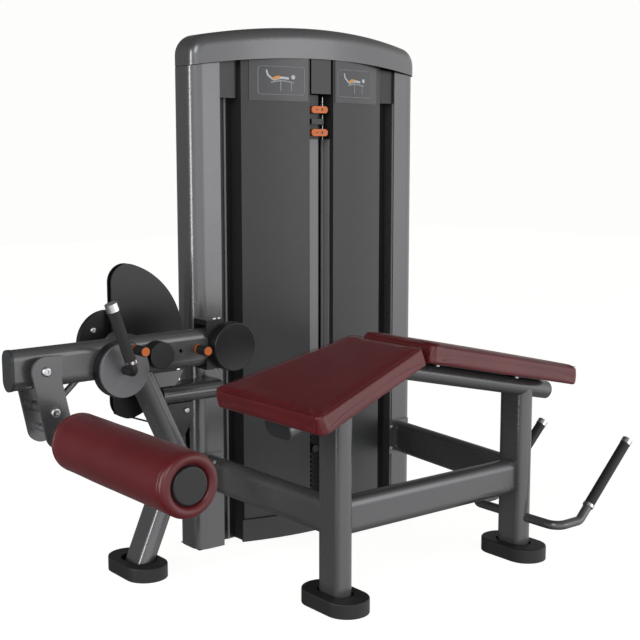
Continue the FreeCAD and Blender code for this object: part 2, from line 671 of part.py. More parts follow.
def build_panels(cap_outer):
    skin = 4.0
    outer, slot = PANEL_X
    mid = (outer + slot) / 2.0
    y_out = panel_y(TOWER_MID_X - outer)
    y_mid = panel_y(TOWER_MID_X - mid)
    y_slot = panel_y(TOWER_MID_X - slot)
    return_y = y_slot + 44.0
    top = CAP_MID_Z + 6
    seat = 0.4
    face = [(outer, y_out), (mid, y_mid, "arc"), (slot, y_slot), (slot, y_slot + skin),
            (mid, y_mid + skin, "arc"), (outer, y_out + skin)]
    outer_return = [(outer, y_out + skin), (outer + skin, y_out + skin), (outer + skin, RECESS_Y + 3),
                    (outer, RECESS_Y + 3)]
    slot_return = [(slot - skin, y_slot + skin + seat), (slot, y_slot + skin + seat), (slot, return_y),
                   (slot - skin, return_y)]
    for outline in (face, outer_return, slot_return):
        for points in (outline, mirror_x(outline)):
            add("front_panels", below_cap(plan_plate(points, TOWER_BOTTOM, top), cap_outer))

    slot_half = TOWER_MID_X - slot
    card = 2.0
    x0 = outer + 22
    x1 = slot - 6
    xm = (x0 + x1) / 2.0
    edge = [(x0, panel_y(TOWER_MID_X - x0)), (xm, panel_y(TOWER_MID_X - xm), "arc"),
            (x1, panel_y(TOWER_MID_X - x1))]
    front = [(p[0], p[1] - card) + tuple(p[2:]) for p in reversed(edge)]
    placard = edge + front
    for points in (placard, mirror_x(placard)):
        add("placards", below_cap(plan_plate(points, PLACARD_Z, top), cap_outer))

    reach = 6.0
    tall = 66.0
    x0 = PANEL_X[0] - 8
    x1 = 2 * TOWER_MID_X - x0
    y_end = panel_y(TOWER_MID_X - x0) - 1.0
    y_front = panel_y(slot_half) - 4.0
    kick = [(x0, y_end), (TOWER_MID_X, y_front, "arc"), (x1, y_end), (x1, y_end - reach),
            (TOWER_MID_X, y_front - reach, "arc"), (x0, y_end - reach)]
    add("front_panels", plan_plate(kick, TOWER_BOTTOM, TOWER_BOTTOM + tall))

    margin = 8.0
    badge = block(slot + margin, 2 * TOWER_MID_X - slot - margin, y_slot + 2, y_slot + 26, BADGE_Z, top)
    add("placards", below_cap(badge, cap_outer))


# ---- weight stack ----
def stack_plate(z, thick, stem_bore=13.5, pin_hole=4.8):
    x0 = TOWER_MID_X - STACK_WIDTH / 2.0
    plate = block(x0, x0 + STACK_WIDTH, STACK_Y - STACK_DEPTH / 2.0, STACK_Y + STACK_DEPTH / 2.0, z, z + thick)
    cuts = [cylinder((TOWER_MID_X, STACK_Y, z - 1), (0, 0, 1), stem_bore, thick + 2)]
    for side in (-1, 1):
        rod_x = TOWER_MID_X + side * ROD_SPACING / 2.0
        cuts.append(cylinder((rod_x, STACK_Y, z - 1), (0, 0, 1), ROD_R + 1.0, thick + 2))
    if pin_hole > 0:
        front = STACK_Y - STACK_DEPTH / 2.0 - 1
        cuts.append(y_cylinder(TOWER_MID_X, z + thick / 2.0, front, STACK_Y, pin_hole))
    return plate.cut(cuts)


def build_stack():
    stem_r = 11.0
    resting = []
    for i in range(RESTING_COUNT):
        resting.append(stack_plate(STACK_BOTTOM + i * PLATE_PITCH, PLATE_THICK))
    selected = []
    for i in range(RESTING_COUNT, RESTING_COUNT + SELECTED_COUNT):
        selected.append(stack_plate(STACK_BOTTOM + i * PLATE_PITCH, PLATE_THICK))
    add("resting_plates", *resting)
    add("lifted_plates", *selected)
    add("lifted_plates", stack_plate(STACK_TOP, TOP_PLATE, stem_r, 0))
    pin_z = STACK_BOTTOM + RESTING_COUNT * PLATE_PITCH + PLATE_THICK / 2.0
    stem = cylinder((TOWER_MID_X, STACK_Y, STACK_BOTTOM + 6), (0, 0, 1), stem_r,
                    STACK_TOP + TOP_PLATE - STACK_BOTTOM - 6)
    for i in range(RESTING_COUNT + SELECTED_COUNT):
        z = STACK_BOTTOM + i * PLATE_PITCH + PLATE_THICK / 2.0
        stem = stem.cut(y_cylinder(TOWER_MID_X, z, STACK_Y - 20, STACK_Y + 20, 4.6))
    add("selector_stem", stem)

    front = STACK_Y - STACK_DEPTH / 2.0
    rod = y_cylinder(TOWER_MID_X, pin_z, front - 12, STACK_Y + 12, 4.0)
    knob = y_cylinder(TOWER_MID_X, pin_z, front - 26, front - 4, 13.0)
    rim = [e for e in knob.Edges if e.Curve.TypeId == "Part::GeomCircle"]
    knob = knob.makeFillet(3.0, rim)
    add("stack_pin", rod.fuse(knob).removeSplitter())

    rods = []
    bumpers = []
    for side in (-1, 1):
        x = TOWER_MID_X + side * ROD_SPACING / 2.0
        rods.append(cylinder((x, STACK_Y, 62), (0, 0, 1), ROD_R, CROSSBAR_Z[0] - 62))
        ring = cylinder((x, STACK_Y, 62), (0, 0, 1), 28.0, STACK_BOTTOM - 62)
        bumpers.append(ring.cut(cylinder((x, STACK_Y, 62), (0, 0, 1), ROD_R, STACK_BOTTOM - 62)))
    add("guide_rods", *rods)
    add("rubber_feet", *bumpers)

    fork = pulley_fork(TOWER_MID_X, HEAD_PULLEY_Z, STACK_TOP + TOP_PLATE)
    add("head_pulley_fork", fork)
    add("head_pulley", pulley(TOWER_MID_X, HEAD_PULLEY_Z))


def build_add_on():
    """Rail, two add-on weights behind it and their sliding oval levers at the top of the slot."""
    x = TOWER_MID_X
    add("trim_strips",
        block(x - 16, x + 16, 556, 562, 500, RAIL_TOP_Z),
        block(x + 37, x + 58, 566, 571, 500, RAIL_TOP_Z))
    weights = []
    for z in (1192.0, 1246.0):
        weights.append(block(x - 30, x + 30, 564, 604, z - 18, z + 18))
    add("add_on_weights", *weights)
    add("add_on_weights", block(x - 22, x + 22, 538, 556, 1215, 1231))
    add("add_on_weights", block(x - 16, x + 16, 556, 562, RAIL_TOP_Z, 1300))
    for name, z in (("add_on_lever_lower", 1191.0), ("add_on_lever_upper", 1257.0)):
        y0 = 528.0
        oval = oval_face(V(x, y0, z), X_AXIS, Z_AXIS, 60.0, 20.0).extrude(V(0, 12, 0))
        shoe = block(x - 20, x + 20, y0 + 12, 556 - GAP, z - 8, z + 8)
        add(name, oval.fuse(shoe).removeSplitter())


# ---- cable and pulleys ----
def cable_height(x):
    """Height of the sloping cable run from the cam to the entry pulley."""
    return CABLE_START_Z + math.tan(CABLE_SLOPE) * (x - CABLE_START_X)


def build_cable():
    down = V(math.cos(CABLE_SLOPE), 0, math.sin(CABLE_SLOPE))
    normal = V(-down.z, 0, down.x)
    start = V(CABLE_START_X, STACK_Y, CABLE_START_Z)
    entry = V(ENTRY_PULLEY_X, STACK_Y, cable_height(ENTRY_PULLEY_X) + PULLEY_R / math.cos(CABLE_SLOPE))
    touch = entry - normal * PULLEY_R
    half_turn = math.atan2(-normal.z, -normal.x) / 2.0
    arc_mid = entry + V(math.cos(half_turn), 0, math.sin(half_turn)) * PULLEY_R
    rise = entry + V(PULLEY_R, 0, 0)
    over = V(TOP_PULLEY_X - PULLEY_R, STACK_Y, TOP_PULLEY_Z)
    crown = V(TOP_PULLEY_X, STACK_Y, TOP_PULLEY_Z + PULLEY_R)
    leave = V(TOP_PULLEY_X + PULLEY_R, STACK_Y, TOP_PULLEY_Z)
    path = Part.Wire([Part.makeLine(start, touch), Part.Arc(touch, arc_mid, rise).toShape(),
                      Part.makeLine(rise, over), Part.Arc(over, crown, leave).toShape()])
    ring = Part.Wire(Part.makeCircle(CABLE_R, start, down))
    add("drive_cable", path.makePipeShell([ring], True, True))

    head = V(TOWER_MID_X, STACK_Y, HEAD_PULLEY_Z)
    left = head - V(PULLEY_R, 0, 0)
    right = head + V(PULLEY_R, 0, 0)
    anchor_z = CROSSBAR_Z[0] - 20
    add("lift_cable", cylinder(tuple(left), (0, 0, 1), CABLE_R, TOP_PULLEY_Z - head.z))
    add("return_cable", cylinder(tuple(right), (0, 0, 1), CABLE_R, anchor_z - head.z))
    wrap = Part.Wire([Part.Arc(left, head - V(0, 0, PULLEY_R), right).toShape()])
    ring = Part.Wire(Part.makeCircle(CABLE_R, left, Z_AXIS))
    add("head_cable", wrap.makePipeShell([ring], True, True))
    add("tower_inner", cylinder((right.x, STACK_Y, anchor_z), (0, 0, 1), 7.0, CROSSBAR_Z[0] - anchor_z))

    add("entry_pulley", pulley(entry.x, entry.z))
    add("tower_inner", pulley_fork(entry.x, entry.z, 62.0))
    add("top_pulley", pulley(TOP_PULLEY_X, TOP_PULLEY_Z))
    add("tower_inner", pulley_fork(TOP_PULLEY_X, TOP_PULLEY_Z, CROSSBAR_Z[1]))
    print("entry pulley", round(entry.x, 3), round(entry.z, 3))


# ---- movement arm ----
def cam_outline(inset):
    """Half disc about the knee axis with rounded ends, its flat side passing the axis."""
    r = CAM_R - inset
    flat = PIVOT_X - 2.0 + inset
    end_r = 50.0 - inset * 0.6
    dx = flat + end_r - PIVOT_X
    dz = math.sqrt((r - end_r) ** 2 - dx ** 2)
    ax = (flat + end_r - PIVOT_X) / (r - end_r)
    az = dz / (r - end_r)
    points = []
    for side in (1, -1):
        centre = (flat + end_r, PIVOT_Z + side * dz)
        touch = (centre[0] + end_r * ax, centre[1] + side * end_r * az)
        angle = math.atan2(az, ax)
        mid_angle = (math.pi + angle) / 2.0
        middle = (centre[0] + end_r * math.cos(mid_angle), centre[1] + side * end_r * math.sin(mid_angle), "arc")
        flat_point = (flat, centre[1])
        points.append((flat_point, middle, touch))
    (top_flat, top_mid, top_touch), (low_flat, low_mid, low_touch) = points
    far = (PIVOT_X + r, PIVOT_Z, "arc")
    return [low_flat, top_flat, top_mid, top_touch, far, low_touch, low_mid]


def build_cam():
    y0, y1 = CAM_Y
    flange = 5.0
    front = y_plate(cam_outline(0.0), y0, y0 + flange)
    rear = y_plate(cam_outline(0.0), y1 - flange, y1)
    drum = y_plate(cam_outline(32.0), y0 + flange, y1 - flange)
    cam = front.fuse([drum, rear])
    anchor = y_cylinder(-268.0, 428.0, y0 + flange, y1 - flange, 6.0)
    cam = cam.fuse(anchor)
    shaft = y_cylinder(PIVOT_X, PIVOT_Z, y0 - 1, y1 + 1, SHAFT_R)
    add("cam", cam.cut(shaft).removeSplitter())
    hub = y_cylinder(PIVOT_X, PIVOT_Z, y1, y1 + 20, 88.0).cut(y_cylinder(PIVOT_X, PIVOT_Z, y1 - 1, y1 + 21, SHAFT_R))
    add("cam_hub", hub)
    bolts = []
    for i in range(3):
        angle = math.radians(141 + i * 39)
        at = (PIVOT_X + 60 * math.cos(angle), y1, PIVOT_Z + 60 * math.sin(angle))
        if at[0] < PIVOT_X - 20:
            bolts.append(bolt_head(at, (0, -1, 0), 8.0, 6.0))
    add("arm_bolts", *bolts)
    add("arm_shafts", y_cylinder(PIVOT_X, PIVOT_Z, 352.0, y1 + 24, SHAFT_R))
    spacer = y_cylinder(PIVOT_X, PIVOT_Z, STRUT_Y + 60 + GAP, y0, 24.0)
    front_spacer = y_cylinder(PIVOT_X, PIVOT_Z, ARM_Y + TUBE_SHORT / 2.0, STRUT_Y - 50 - GAP, 24.0)
    shaft = y_cylinder(PIVOT_X, PIVOT_Z, 300, 700, SHAFT_R)
    add("arm_shafts", spacer.cut(shaft), front_spacer.cut(shaft))
    cap = y_cylinder(PIVOT_X, PIVOT_Z, 348.0, ARM_Y - TUBE_SHORT / 2.0, 35.0)
    rim = [e for e in cap.Edges if e.Curve.TypeId == "Part::GeomCircle" and e.Curve.Center.y < 349]
    cap = cap.makeFillet(2.5, rim)
    add("pivot_cap", cap.cut(y_cylinder(PIVOT_X, PIVOT_Z, 352.0, 400, SHAFT_R)))


def bracket_outline():
    """Dog-leg plate from the arm beam down to the roller axle."""
    top = V(-596, 0, 615)
    low = V(ROLLER_X, 0, ROLLER_Z)
    r = 36.0
    axis = (low - top).normalize()
    side = V(-axis.z, 0, axis.x)
    a = top - side * -r
    left = -1.0 if side.x > 0 else 1.0
    out_left = side * left * r
    out_right = side * -left * r
    p_low_left = low + out_left
    p_low_mid = low + axis * r
    p_low_right = low + out_right
    p_top_right = V(-556, 0, 590)
    p_corner = V(-552, 0, 650)
    p_top_left = top + out_left
    p_top_mid = top + (out_left.normalize() * r + V(0, 0, r)).normalize() * r
    p_top = V(top.x + 4, 0, top.z + r)
    return [(p_top_left.x, p_top_left.z), (p_top_mid.x, p_top_mid.z, "arc"), (p_top.x, p_top.z),
            (p_corner.x, p_corner.z), (p_top_right.x, p_top_right.z), (p_low_right.x, p_low_right.z),
            (p_low_mid.x, p_low_mid.z, "arc"), (p_low_left.x, p_low_left.z)]


def build_arm():
    left = V(ARM_LEFT, ARM_Y, PIVOT_Z - 5.0)
    right = V(ARM_RIGHT, ARM_Y, PIVOT_Z + 1.0)
    beam = oval_tube(left, right, Z_AXIS)
    axis = (right - left).normalize()
    holes = [y_cylinder(PIVOT_X, PIVOT_Z, ARM_Y - 40, ARM_Y + 40, SHAFT_R),
             y_cylinder(-204, PIVOT_Z, ARM_Y - 40, ARM_Y, 5.0),
             y_cylinder(WEIGHT_PIN_X, PIVOT_Z, ARM_Y - 40, ARM_Y, 5.3)]
    add("arm_beam", beam.cut(holes))
    cap = 8.0
    add("arm_end_caps",
        oval_solid(left - axis * cap, left, Z_AXIS, TUBE_LONG + 2, TUBE_SHORT + 2),
        oval_solid(right, right + axis * 3, Z_AXIS))

    front_y = ARM_Y - 55.0
    rear_y = ARM_Y + 47.0
    outline = bracket_outline()
    axle_r = 10.0
    for y0 in (front_y, rear_y):
        plate = y_plate(outline, y0, y0 + PLATE)
        cut = y_cylinder(ROLLER_X, ROLLER_Z, y0 - 1, y0 + PLATE + 1, axle_r)
        add("roller_brackets", plate.cut(cut))
    spacers = []
    bolts = []
    face = TUBE_SHORT / 2.0
    spacers.append(y_cylinder(-596, 615, front_y + PLATE, ARM_Y - face, 16.0))
    spacers.append(y_cylinder(-596, 615, ARM_Y + face, rear_y, 16.0))
    spacers.append(y_cylinder(-576, 514, front_y + PLATE, rear_y, 13.0))
    add("roller_brackets", *spacers)
    for x, z in ((-596, 615), (-576, 514)):
        bolts.append(bolt_head((x, front_y, z), (0, -1, 0), 12.0, 8.0))
        bolts.append(bolt_head((x, rear_y + PLATE, z), (0, 1, 0), 12.0, 7.0))
    bolts.append(bolt_head((ROLLER_X, rear_y + PLATE + 2, ROLLER_Z), (0, 1, 0), 14.0, 5.0))
    add("arm_bolts", *bolts)
    brace = cylinder((-548, ARM_Y, 524), (70, 0, 62), 8.0, 110)
    keep_out = oval_solid(left, right, Z_AXIS)
    brace = brace.cut(keep_out).cut(y_cylinder(-576, 514, 300, 500, 13.0))
    add("roller_brackets", sorted(brace.Solids, key=lambda s: -s.Volume)[0])
    add("arm_shafts", y_cylinder(ROLLER_X, ROLLER_Z, ROLLER_Y[0] + 16, rear_y + PLATE + 2, axle_r))


def build_roller():
    y0, y1 = ROLLER_Y
    recess = 10.0
    recess_r = 43.0
    core_r = 30.0
    pad = y_cylinder(ROLLER_X, ROLLER_Z, y0, y1, ROLLER_R)
    rims = [e for e in pad.Edges if e.Curve.TypeId == "Part::GeomCircle"]
    pad = pad.makeFillet(16.0, rims)
    pad = pad.cut(y_cylinder(ROLLER_X, ROLLER_Z, y0 - 1, y0 + recess, recess_r))
    pad = pad.cut(y_cylinder(ROLLER_X, ROLLER_Z, y0 - 1, y1 + 1, core_r))
    add("roller_pad", pad)
    axle_bore = y_cylinder(ROLLER_X, ROLLER_Z, y0 - 1, y1 + 1, 10.0 + RUNNING)
    core = y_cylinder(ROLLER_X, ROLLER_Z, y0 + recess, y1 - 4, core_r)
    add("roller_core", core.cut(y_cylinder(ROLLER_X, ROLLER_Z, y0, y1, core_r - 4.0)))
    for start in (y0 + recess + 12, y1 - 24):
        hub = y_cylinder(ROLLER_X, ROLLER_Z, start, start + 16, core_r - 4.0)
        add("roller_core", hub.cut(axle_bore))
    cap = y_cylinder(ROLLER_X, ROLLER_Z, y0 + 2, y0 + recess, 42.0)
    face = [e for e in cap.Edges if e.Curve.TypeId == "Part::GeomCircle" and e.Curve.Center.y < y0 + 3]
    add("roller_core", cap.makeFillet(5.0, face))


def build_start_selector():
    face_y = ARM_Y - TUBE_SHORT / 2.0
    disc_y = (352.0, 361.0)
    collar = y_cylinder(SELECTOR_X, SELECTOR_Z, disc_y[1] + GAP, face_y, SELECTOR_R + 3)
    for i in range(7):
        angle = math.radians(57.7 - 45 + i * 15)
        at_x = SELECTOR_X + 58 * math.cos(angle)
        at_z = SELECTOR_Z + 58 * math.sin(angle)
        collar = collar.cut(y_cylinder(at_x, at_z, disc_y[1], disc_y[1] + 14, 5.5))
    bore = y_cylinder(SELECTOR_X, SELECTOR_Z, disc_y[1], face_y, 12.0 + RUNNING)
    add("index_collar", collar.cut(bore))
    disc = y_cylinder(SELECTOR_X, SELECTOR_Z, disc_y[0], disc_y[1], SELECTOR_R)
    edge = [e for e in disc.Edges if e.Curve.TypeId == "Part::GeomCircle" and e.Curve.Center.y < disc_y[0] + 1]
    disc = disc.makeFillet(1.2, edge)
    disc = disc.cut(y_cylinder(START_PIN_X, START_PIN_Z, disc_y[0] - 1, disc_y[1] + 1, 5.3))
    stub = y_cylinder(SELECTOR_X, SELECTOR_Z, disc_y[1], face_y - 1, 12.0)
    add("selector_disc", disc.fuse(stub))

    lean = math.radians(19.3)
    up = V(-math.sin(lean), 0, math.cos(lean))
    corner = V(SELECTOR_X, 306, SELECTOR_Z)
    tube_r = 11.0
    end = corner + up * 172
    bar = pipe([(SELECTOR_X, disc_y[0], SELECTOR_Z), tuple(corner), tuple(end)], tube_r, [14.0])
    add("selector_lever", bar)
    grip_start = corner + up * 34
    grip = Part.makeCylinder(14.5, 132, grip_start, up).cut(Part.makeCylinder(tube_r, 132, grip_start, up))
    add("selector_grip", grip)
    ring = Part.makeCylinder(16.0, 8, grip_start - up * 8, up).cut(Part.makeCylinder(tube_r, 8, grip_start - up * 8, up))
    tip_base = grip_start + up * 132
    tip = Part.makeCylinder(16.0, 20, tip_base, up).cut(Part.makeCylinder(tube_r, 6, tip_base, up))
    add("selector_lever", ring, tip)


def pull_pin(name, x, z, face_y, depth):
    """Spring plunger: a fixed threaded barrel with an accent ring, and a knob with its plunger."""
    bore = y_cylinder(x, z, face_y - 60, face_y + 60, 5.0 + RUNNING)
    barrel = y_cylinder(x, z, face_y - 22, face_y, 10.0)
    ring = y_cylinder(x, z, face_y - 7, face_y - 2, 13.0).cut(y_cylinder(x, z, face_y - 8, face_y, 10.0))
    add(name + "_collar", barrel.cut(bore))
    add(name + "_collar", ring)
    knob = y_cylinder(x, z, face_y - 48, face_y - 10, 13.0)
    front = [e for e in knob.Edges if e.Curve.TypeId == "Part::GeomCircle" and e.Curve.Center.y < face_y - 47]
    knob = knob.makeFillet(2.0, front)
    knob = knob.cut(y_cylinder(x, z, face_y - 24, face_y, 10.0 + GAP))
    plunger = y_cylinder(x, z, face_y - 30, face_y + depth, 5.0)
    knob = knob.cut(y_cylinder(x, z, face_y - 49, face_y - 45, 11.0))
    add(name, knob.fuse(plunger).removeSplitter())
    add(name + "_button", y_cylinder(x, z, face_y - 49, face_y - 45, 11.0))


def build_counterweight():
    top_z = PIVOT_Z + 78.0
    low_z = PIVOT_Z - 62.0
    x0 = COUNTER_X - 80.0
    x1 = COUNTER_X - 20.0
    y_front = ARM_Y - TUBE_SHORT / 2.0
    y_back = ARM_Y + TUBE_SHORT / 2.0
    thick = 6.0
    beam_hole = oval_solid(V(x0 - 50, ARM_Y, PIVOT_Z + 1.0), V(x1 + 50, ARM_Y, PIVOT_Z + 1.0), Z_AXIS,
                           TUBE_LONG + 4, TUBE_SHORT + 1)
    strap = block(x0 + 6, x1, y_front - thick, y_back + thick, low_z + 4, top_z - 4)
    hollow = block(x0, x1 + 10, y_front, y_back, low_z + 16, top_z - 18)
    strap = strap.cut(hollow)
    strap = strap.cut(beam_hole)
    window = block(x0, x0 + 14, y_front - thick - 1, y_front, PIVOT_Z - 30, PIVOT_Z + 30)
    strap = strap.cut(window)
    add("counterweight_bracket", *strap.Solids)
    plate = y_cylinder(COUNTER_X, PIVOT_Z, y_front - thick - 4, y_front - thick, COUNTER_R + 1)
    disc = y_cylinder(COUNTER_X, PIVOT_Z, y_front - thick - 26, y_front - thick - 4, COUNTER_R)
    rim = [e for e in disc.Edges if e.Curve.TypeId == "Part::GeomCircle" and e.Curve.Center.y < y_front - 30]
    add("counterweight_bracket", plate)
    add("counterweight", disc.makeFillet(2.5, rim))
    bolts = []
    for z, direction in ((top_z - 4, 1), (low_z + 4, -1)):
        for x in (COUNTER_X - 43, COUNTER_X - 29):
            bolts.append(bolt_head((x, y_front + 4, z), (0, 0, direction), 5.0, 5.0))
    add("arm_bolts", *bolts)


# ---- assembly ----
thigh_rail_solid, chest_rail_solid = build_rails()
build_posts(thigh_rail_solid, chest_rail_solid)
build_floor_beams()
build_foot(0.0, 0.0, 0.0, TUBE_SHORT + 12)
build_foot(HEAD_POST_X, 0.0, HEAD_POST_X, TUBE_SHORT + 12)
build_foot(STRUT_FOOT_X + 6, STRUT_Y, STRUT_FOOT_X + 10, TUBE_SHORT + 34)
strut_solid = build_pivot_post()
tower_solids = build_tower()
build_tie(strut_solid, tower_solids["left_column"])
build_pads()
build_head_grips()
build_stack()
build_add_on()
build_cable()
build_cam()
build_arm()
build_roller()
build_start_selector()
pull_pin("start_pin", START_PIN_X, START_PIN_Z, 352.0, 16.0)
pull_pin("weight_pin", WEIGHT_PIN_X, PIVOT_Z, ARM_Y - TUBE_SHORT / 2.0, 3.0)
build_counterweight()

box = Part.makeCompound([solid for solids in parts.values() for solid in solids]).optimalBoundingBox(False)
shift = V(-(box.XMin + box.XMax) / 2.0, -(box.YMin + box.YMax) / 2.0, -box.ZMin)
os.makedirs("parts", exist_ok=True)
for name, solids in sorted(parts.items()):
    moved = solids[0].copy() if len(solids) == 1 else Part.makeCompound(solids)
    moved.translate(shift)
    moved.exportStep(os.path.join("parts", name + ".step"))
print("nodes", len(parts))
print("size", round(box.XLength, 2), round(box.YLength, 2), round(box.ZLength, 2))
print("shift", round(shift.x, 6), round(shift.y, 6), round(shift.z, 6))
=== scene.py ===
import math
import bmesh
import bpy
from mathutils import Matrix, Vector, noise
from mathutils.kdtree import KDTree


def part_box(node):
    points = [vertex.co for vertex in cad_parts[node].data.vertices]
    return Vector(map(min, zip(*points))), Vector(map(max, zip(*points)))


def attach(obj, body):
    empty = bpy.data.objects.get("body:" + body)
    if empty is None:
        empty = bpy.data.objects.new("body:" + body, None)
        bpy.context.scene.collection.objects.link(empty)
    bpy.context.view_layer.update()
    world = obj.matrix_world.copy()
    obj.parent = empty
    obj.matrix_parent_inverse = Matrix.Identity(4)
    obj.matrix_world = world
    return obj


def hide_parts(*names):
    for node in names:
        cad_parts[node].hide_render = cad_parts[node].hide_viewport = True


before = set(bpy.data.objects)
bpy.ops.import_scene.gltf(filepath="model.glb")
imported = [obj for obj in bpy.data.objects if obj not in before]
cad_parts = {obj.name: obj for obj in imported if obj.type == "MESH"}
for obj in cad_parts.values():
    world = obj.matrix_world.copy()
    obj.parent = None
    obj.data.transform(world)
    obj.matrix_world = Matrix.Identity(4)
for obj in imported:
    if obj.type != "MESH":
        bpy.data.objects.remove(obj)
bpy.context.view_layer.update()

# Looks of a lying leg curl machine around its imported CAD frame. Lengths given to at() and to the
# mesh helpers are in millimetres in the bench's own axes, whose origin is the floor under the front post.
MM = 0.001
POST_LOW, POST_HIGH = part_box("bench_posts")
ORIGIN = Vector((POST_LOW.x + 0.025, (POST_LOW.y + POST_HIGH.y) / 2.0, 0.0))


def at(x, y, z):
    """A point in the row frame, in metres, from bench coordinates in millimetres."""
    return ORIGIN + Vector((x, y, z)) * MM


# ---- camera and studio ----
CAMERA_POINT = (-1826.5, -2239.0, 1120.0)
CAMERA_HEADING = math.radians(38.45)
CAMERA_DIP = math.radians(7.75)
LENS = 67.3
SENSOR = 36.0
VIEW_DEPTH = 60.0          # metres

# Strength of the world's light by height: 0 is straight down, 0.5 the horizon and 1 straight up.
SKY_STOPS = ((0.10, 0.32), (0.38, 1.2), (0.48, 1.7), (0.62, 1.55), (0.80, 0.5), (1.0, 0.30))
SKY_FRONT = (0.30, -0.95, 0.0)
SKY_TURN = (-0.75, 0.70)   # how far round from the front the light falls off
SKY_BEHIND = 0.14

FLOOR_REACH = 12.0         # metres
FLOOR_BASE = 0.24
FLOOR_GLOW = 0.93
BACKDROP_RADIUS = 24.0     # metres
BACKDROP_GLOW = 0.985


def make_camera():
    data = bpy.data.cameras.new("camera")
    data.lens = LENS
    data.sensor_width = SENSOR
    data.clip_end = VIEW_DEPTH
    camera = bpy.data.objects.new("camera", data)
    bpy.context.scene.collection.objects.link(camera)
    level = math.cos(CAMERA_DIP)
    look = Vector((math.sin(CAMERA_HEADING) * level, math.cos(CAMERA_HEADING) * level, -math.sin(CAMERA_DIP)))
    camera.location = at(*CAMERA_POINT)
    camera.rotation_euler = look.to_track_quat("-Z", "Y").to_euler()
    bpy.context.scene.camera = camera


def area_light(name, point, target, size, power):
    data = bpy.data.lights.new(name, "AREA")
    data.shape = "RECTANGLE"
    data.size, data.size_y = size
    data.energy = power
    light = bpy.data.objects.new(name, data)
    bpy.context.scene.collection.objects.link(light)
    light.location = at(*point)
    light.rotation_euler = (at(*target) - at(*point)).to_track_quat("-Z", "Y").to_euler()


def make_world():
    """Light that falls on the machine: bright at the horizon in front, dimmer above, below and behind."""
    world = bpy.data.worlds.new("studio")
    bpy.context.scene.world = world
    world.use_nodes = True
    nodes, links = world.node_tree.nodes, world.node_tree.links
    nodes.clear()
    out = nodes.new("ShaderNodeOutputWorld")
    back = nodes.new("ShaderNodeBackground")
    coords = nodes.new("ShaderNodeTexCoord")
    split = nodes.new("ShaderNodeSeparateXYZ")
    height = nodes.new("ShaderNodeMapRange")
    height.inputs["From Min"].default_value = -1.0
    ramp = nodes.new("ShaderNodeValToRGB")
    while len(ramp.color_ramp.elements) < len(SKY_STOPS):
        ramp.color_ramp.elements.new(0.5)
    for element, (position, level) in zip(ramp.color_ramp.elements, SKY_STOPS):
        element.position = position
        element.color = (level, level, level, 1.0)
    facing = nodes.new("ShaderNodeVectorMath")
    facing.operation = "DOT_PRODUCT"
    facing.inputs[1].default_value = SKY_FRONT
    side = nodes.new("ShaderNodeMapRange")
    side.interpolation_type = "SMOOTHSTEP"
    side.inputs["From Min"].default_value, side.inputs["From Max"].default_value = SKY_TURN
    side.inputs["To Min"].default_value = SKY_BEHIND
    side.inputs["To Max"].default_value = 1.0
    product = nodes.new("ShaderNodeMath")
    product.operation = "MULTIPLY"
    links.new(coords.outputs["Generated"], split.inputs[0])
    links.new(split.outputs["Z"], height.inputs["Value"])
    links.new(height.outputs["Result"], ramp.inputs["Fac"])
    links.new(coords.outputs["Generated"], facing.inputs[0])
    links.new(facing.outputs["Value"], side.inputs["Value"])
    links.new(ramp.outputs["Color"], product.inputs[0])
    links.new(side.outputs["Result"], product.inputs[1])
    links.new(product.outputs["Value"], back.inputs["Strength"])
    links.new(back.outputs[0], out.inputs["Surface"])


def stage_white(name, bm, base, glow):
    """A plain white stage piece that neither lights nor shows in the machine's surfaces."""
    mesh = bpy.data.meshes.new(name)
    bm.to_mesh(mesh)
    bm.free()
    piece = bpy.data.objects.new(name, mesh)
    bpy.context.scene.collection.objects.link(piece)
    mat = bpy.data.materials.new(name + "_white")
    mat.use_nodes = True
    shader = mat.node_tree.nodes["Principled BSDF"]
    shader.inputs["Base Color"].default_value = (base, base, base, 1.0)
    shader.inputs["Roughness"].default_value = 1.0
    shader.inputs["Specular IOR Level"].default_value = 0.0
    shader.inputs["Emission Color"].default_value = (1.0, 1.0, 0.99, 1.0)
    shader.inputs["Emission Strength"].default_value = glow
    mesh.materials.append(mat)
    piece.visible_diffuse = False
    piece.visible_glossy = False
    piece.visible_shadow = False


def make_stage():
    below_feet = -0.0005
    bm = bmesh.new()
    signs = ((-1, -1), (1, -1), (1, 1), (-1, 1))
    bm.faces.new([bm.verts.new((sx * FLOOR_REACH, sy * FLOOR_REACH, below_feet)) for sx, sy in signs])
    stage_white("floor", bm, FLOOR_BASE, FLOOR_GLOW)
    bm = bmesh.new()
    bmesh.ops.create_icosphere(bm, subdivisions=4, radius=BACKDROP_RADIUS)
    stage_white("backdrop", bm, 0.0, BACKDROP_GLOW)


# ---- materials ----
NOISE_SPAN = (0.3, 0.7)    # the part of a noise texture's values that is spread over a variation
MOULDING_BLACK = (0.013, 0.013, 0.014, 1.0)
MOULDING_ROUGHNESS = 0.42


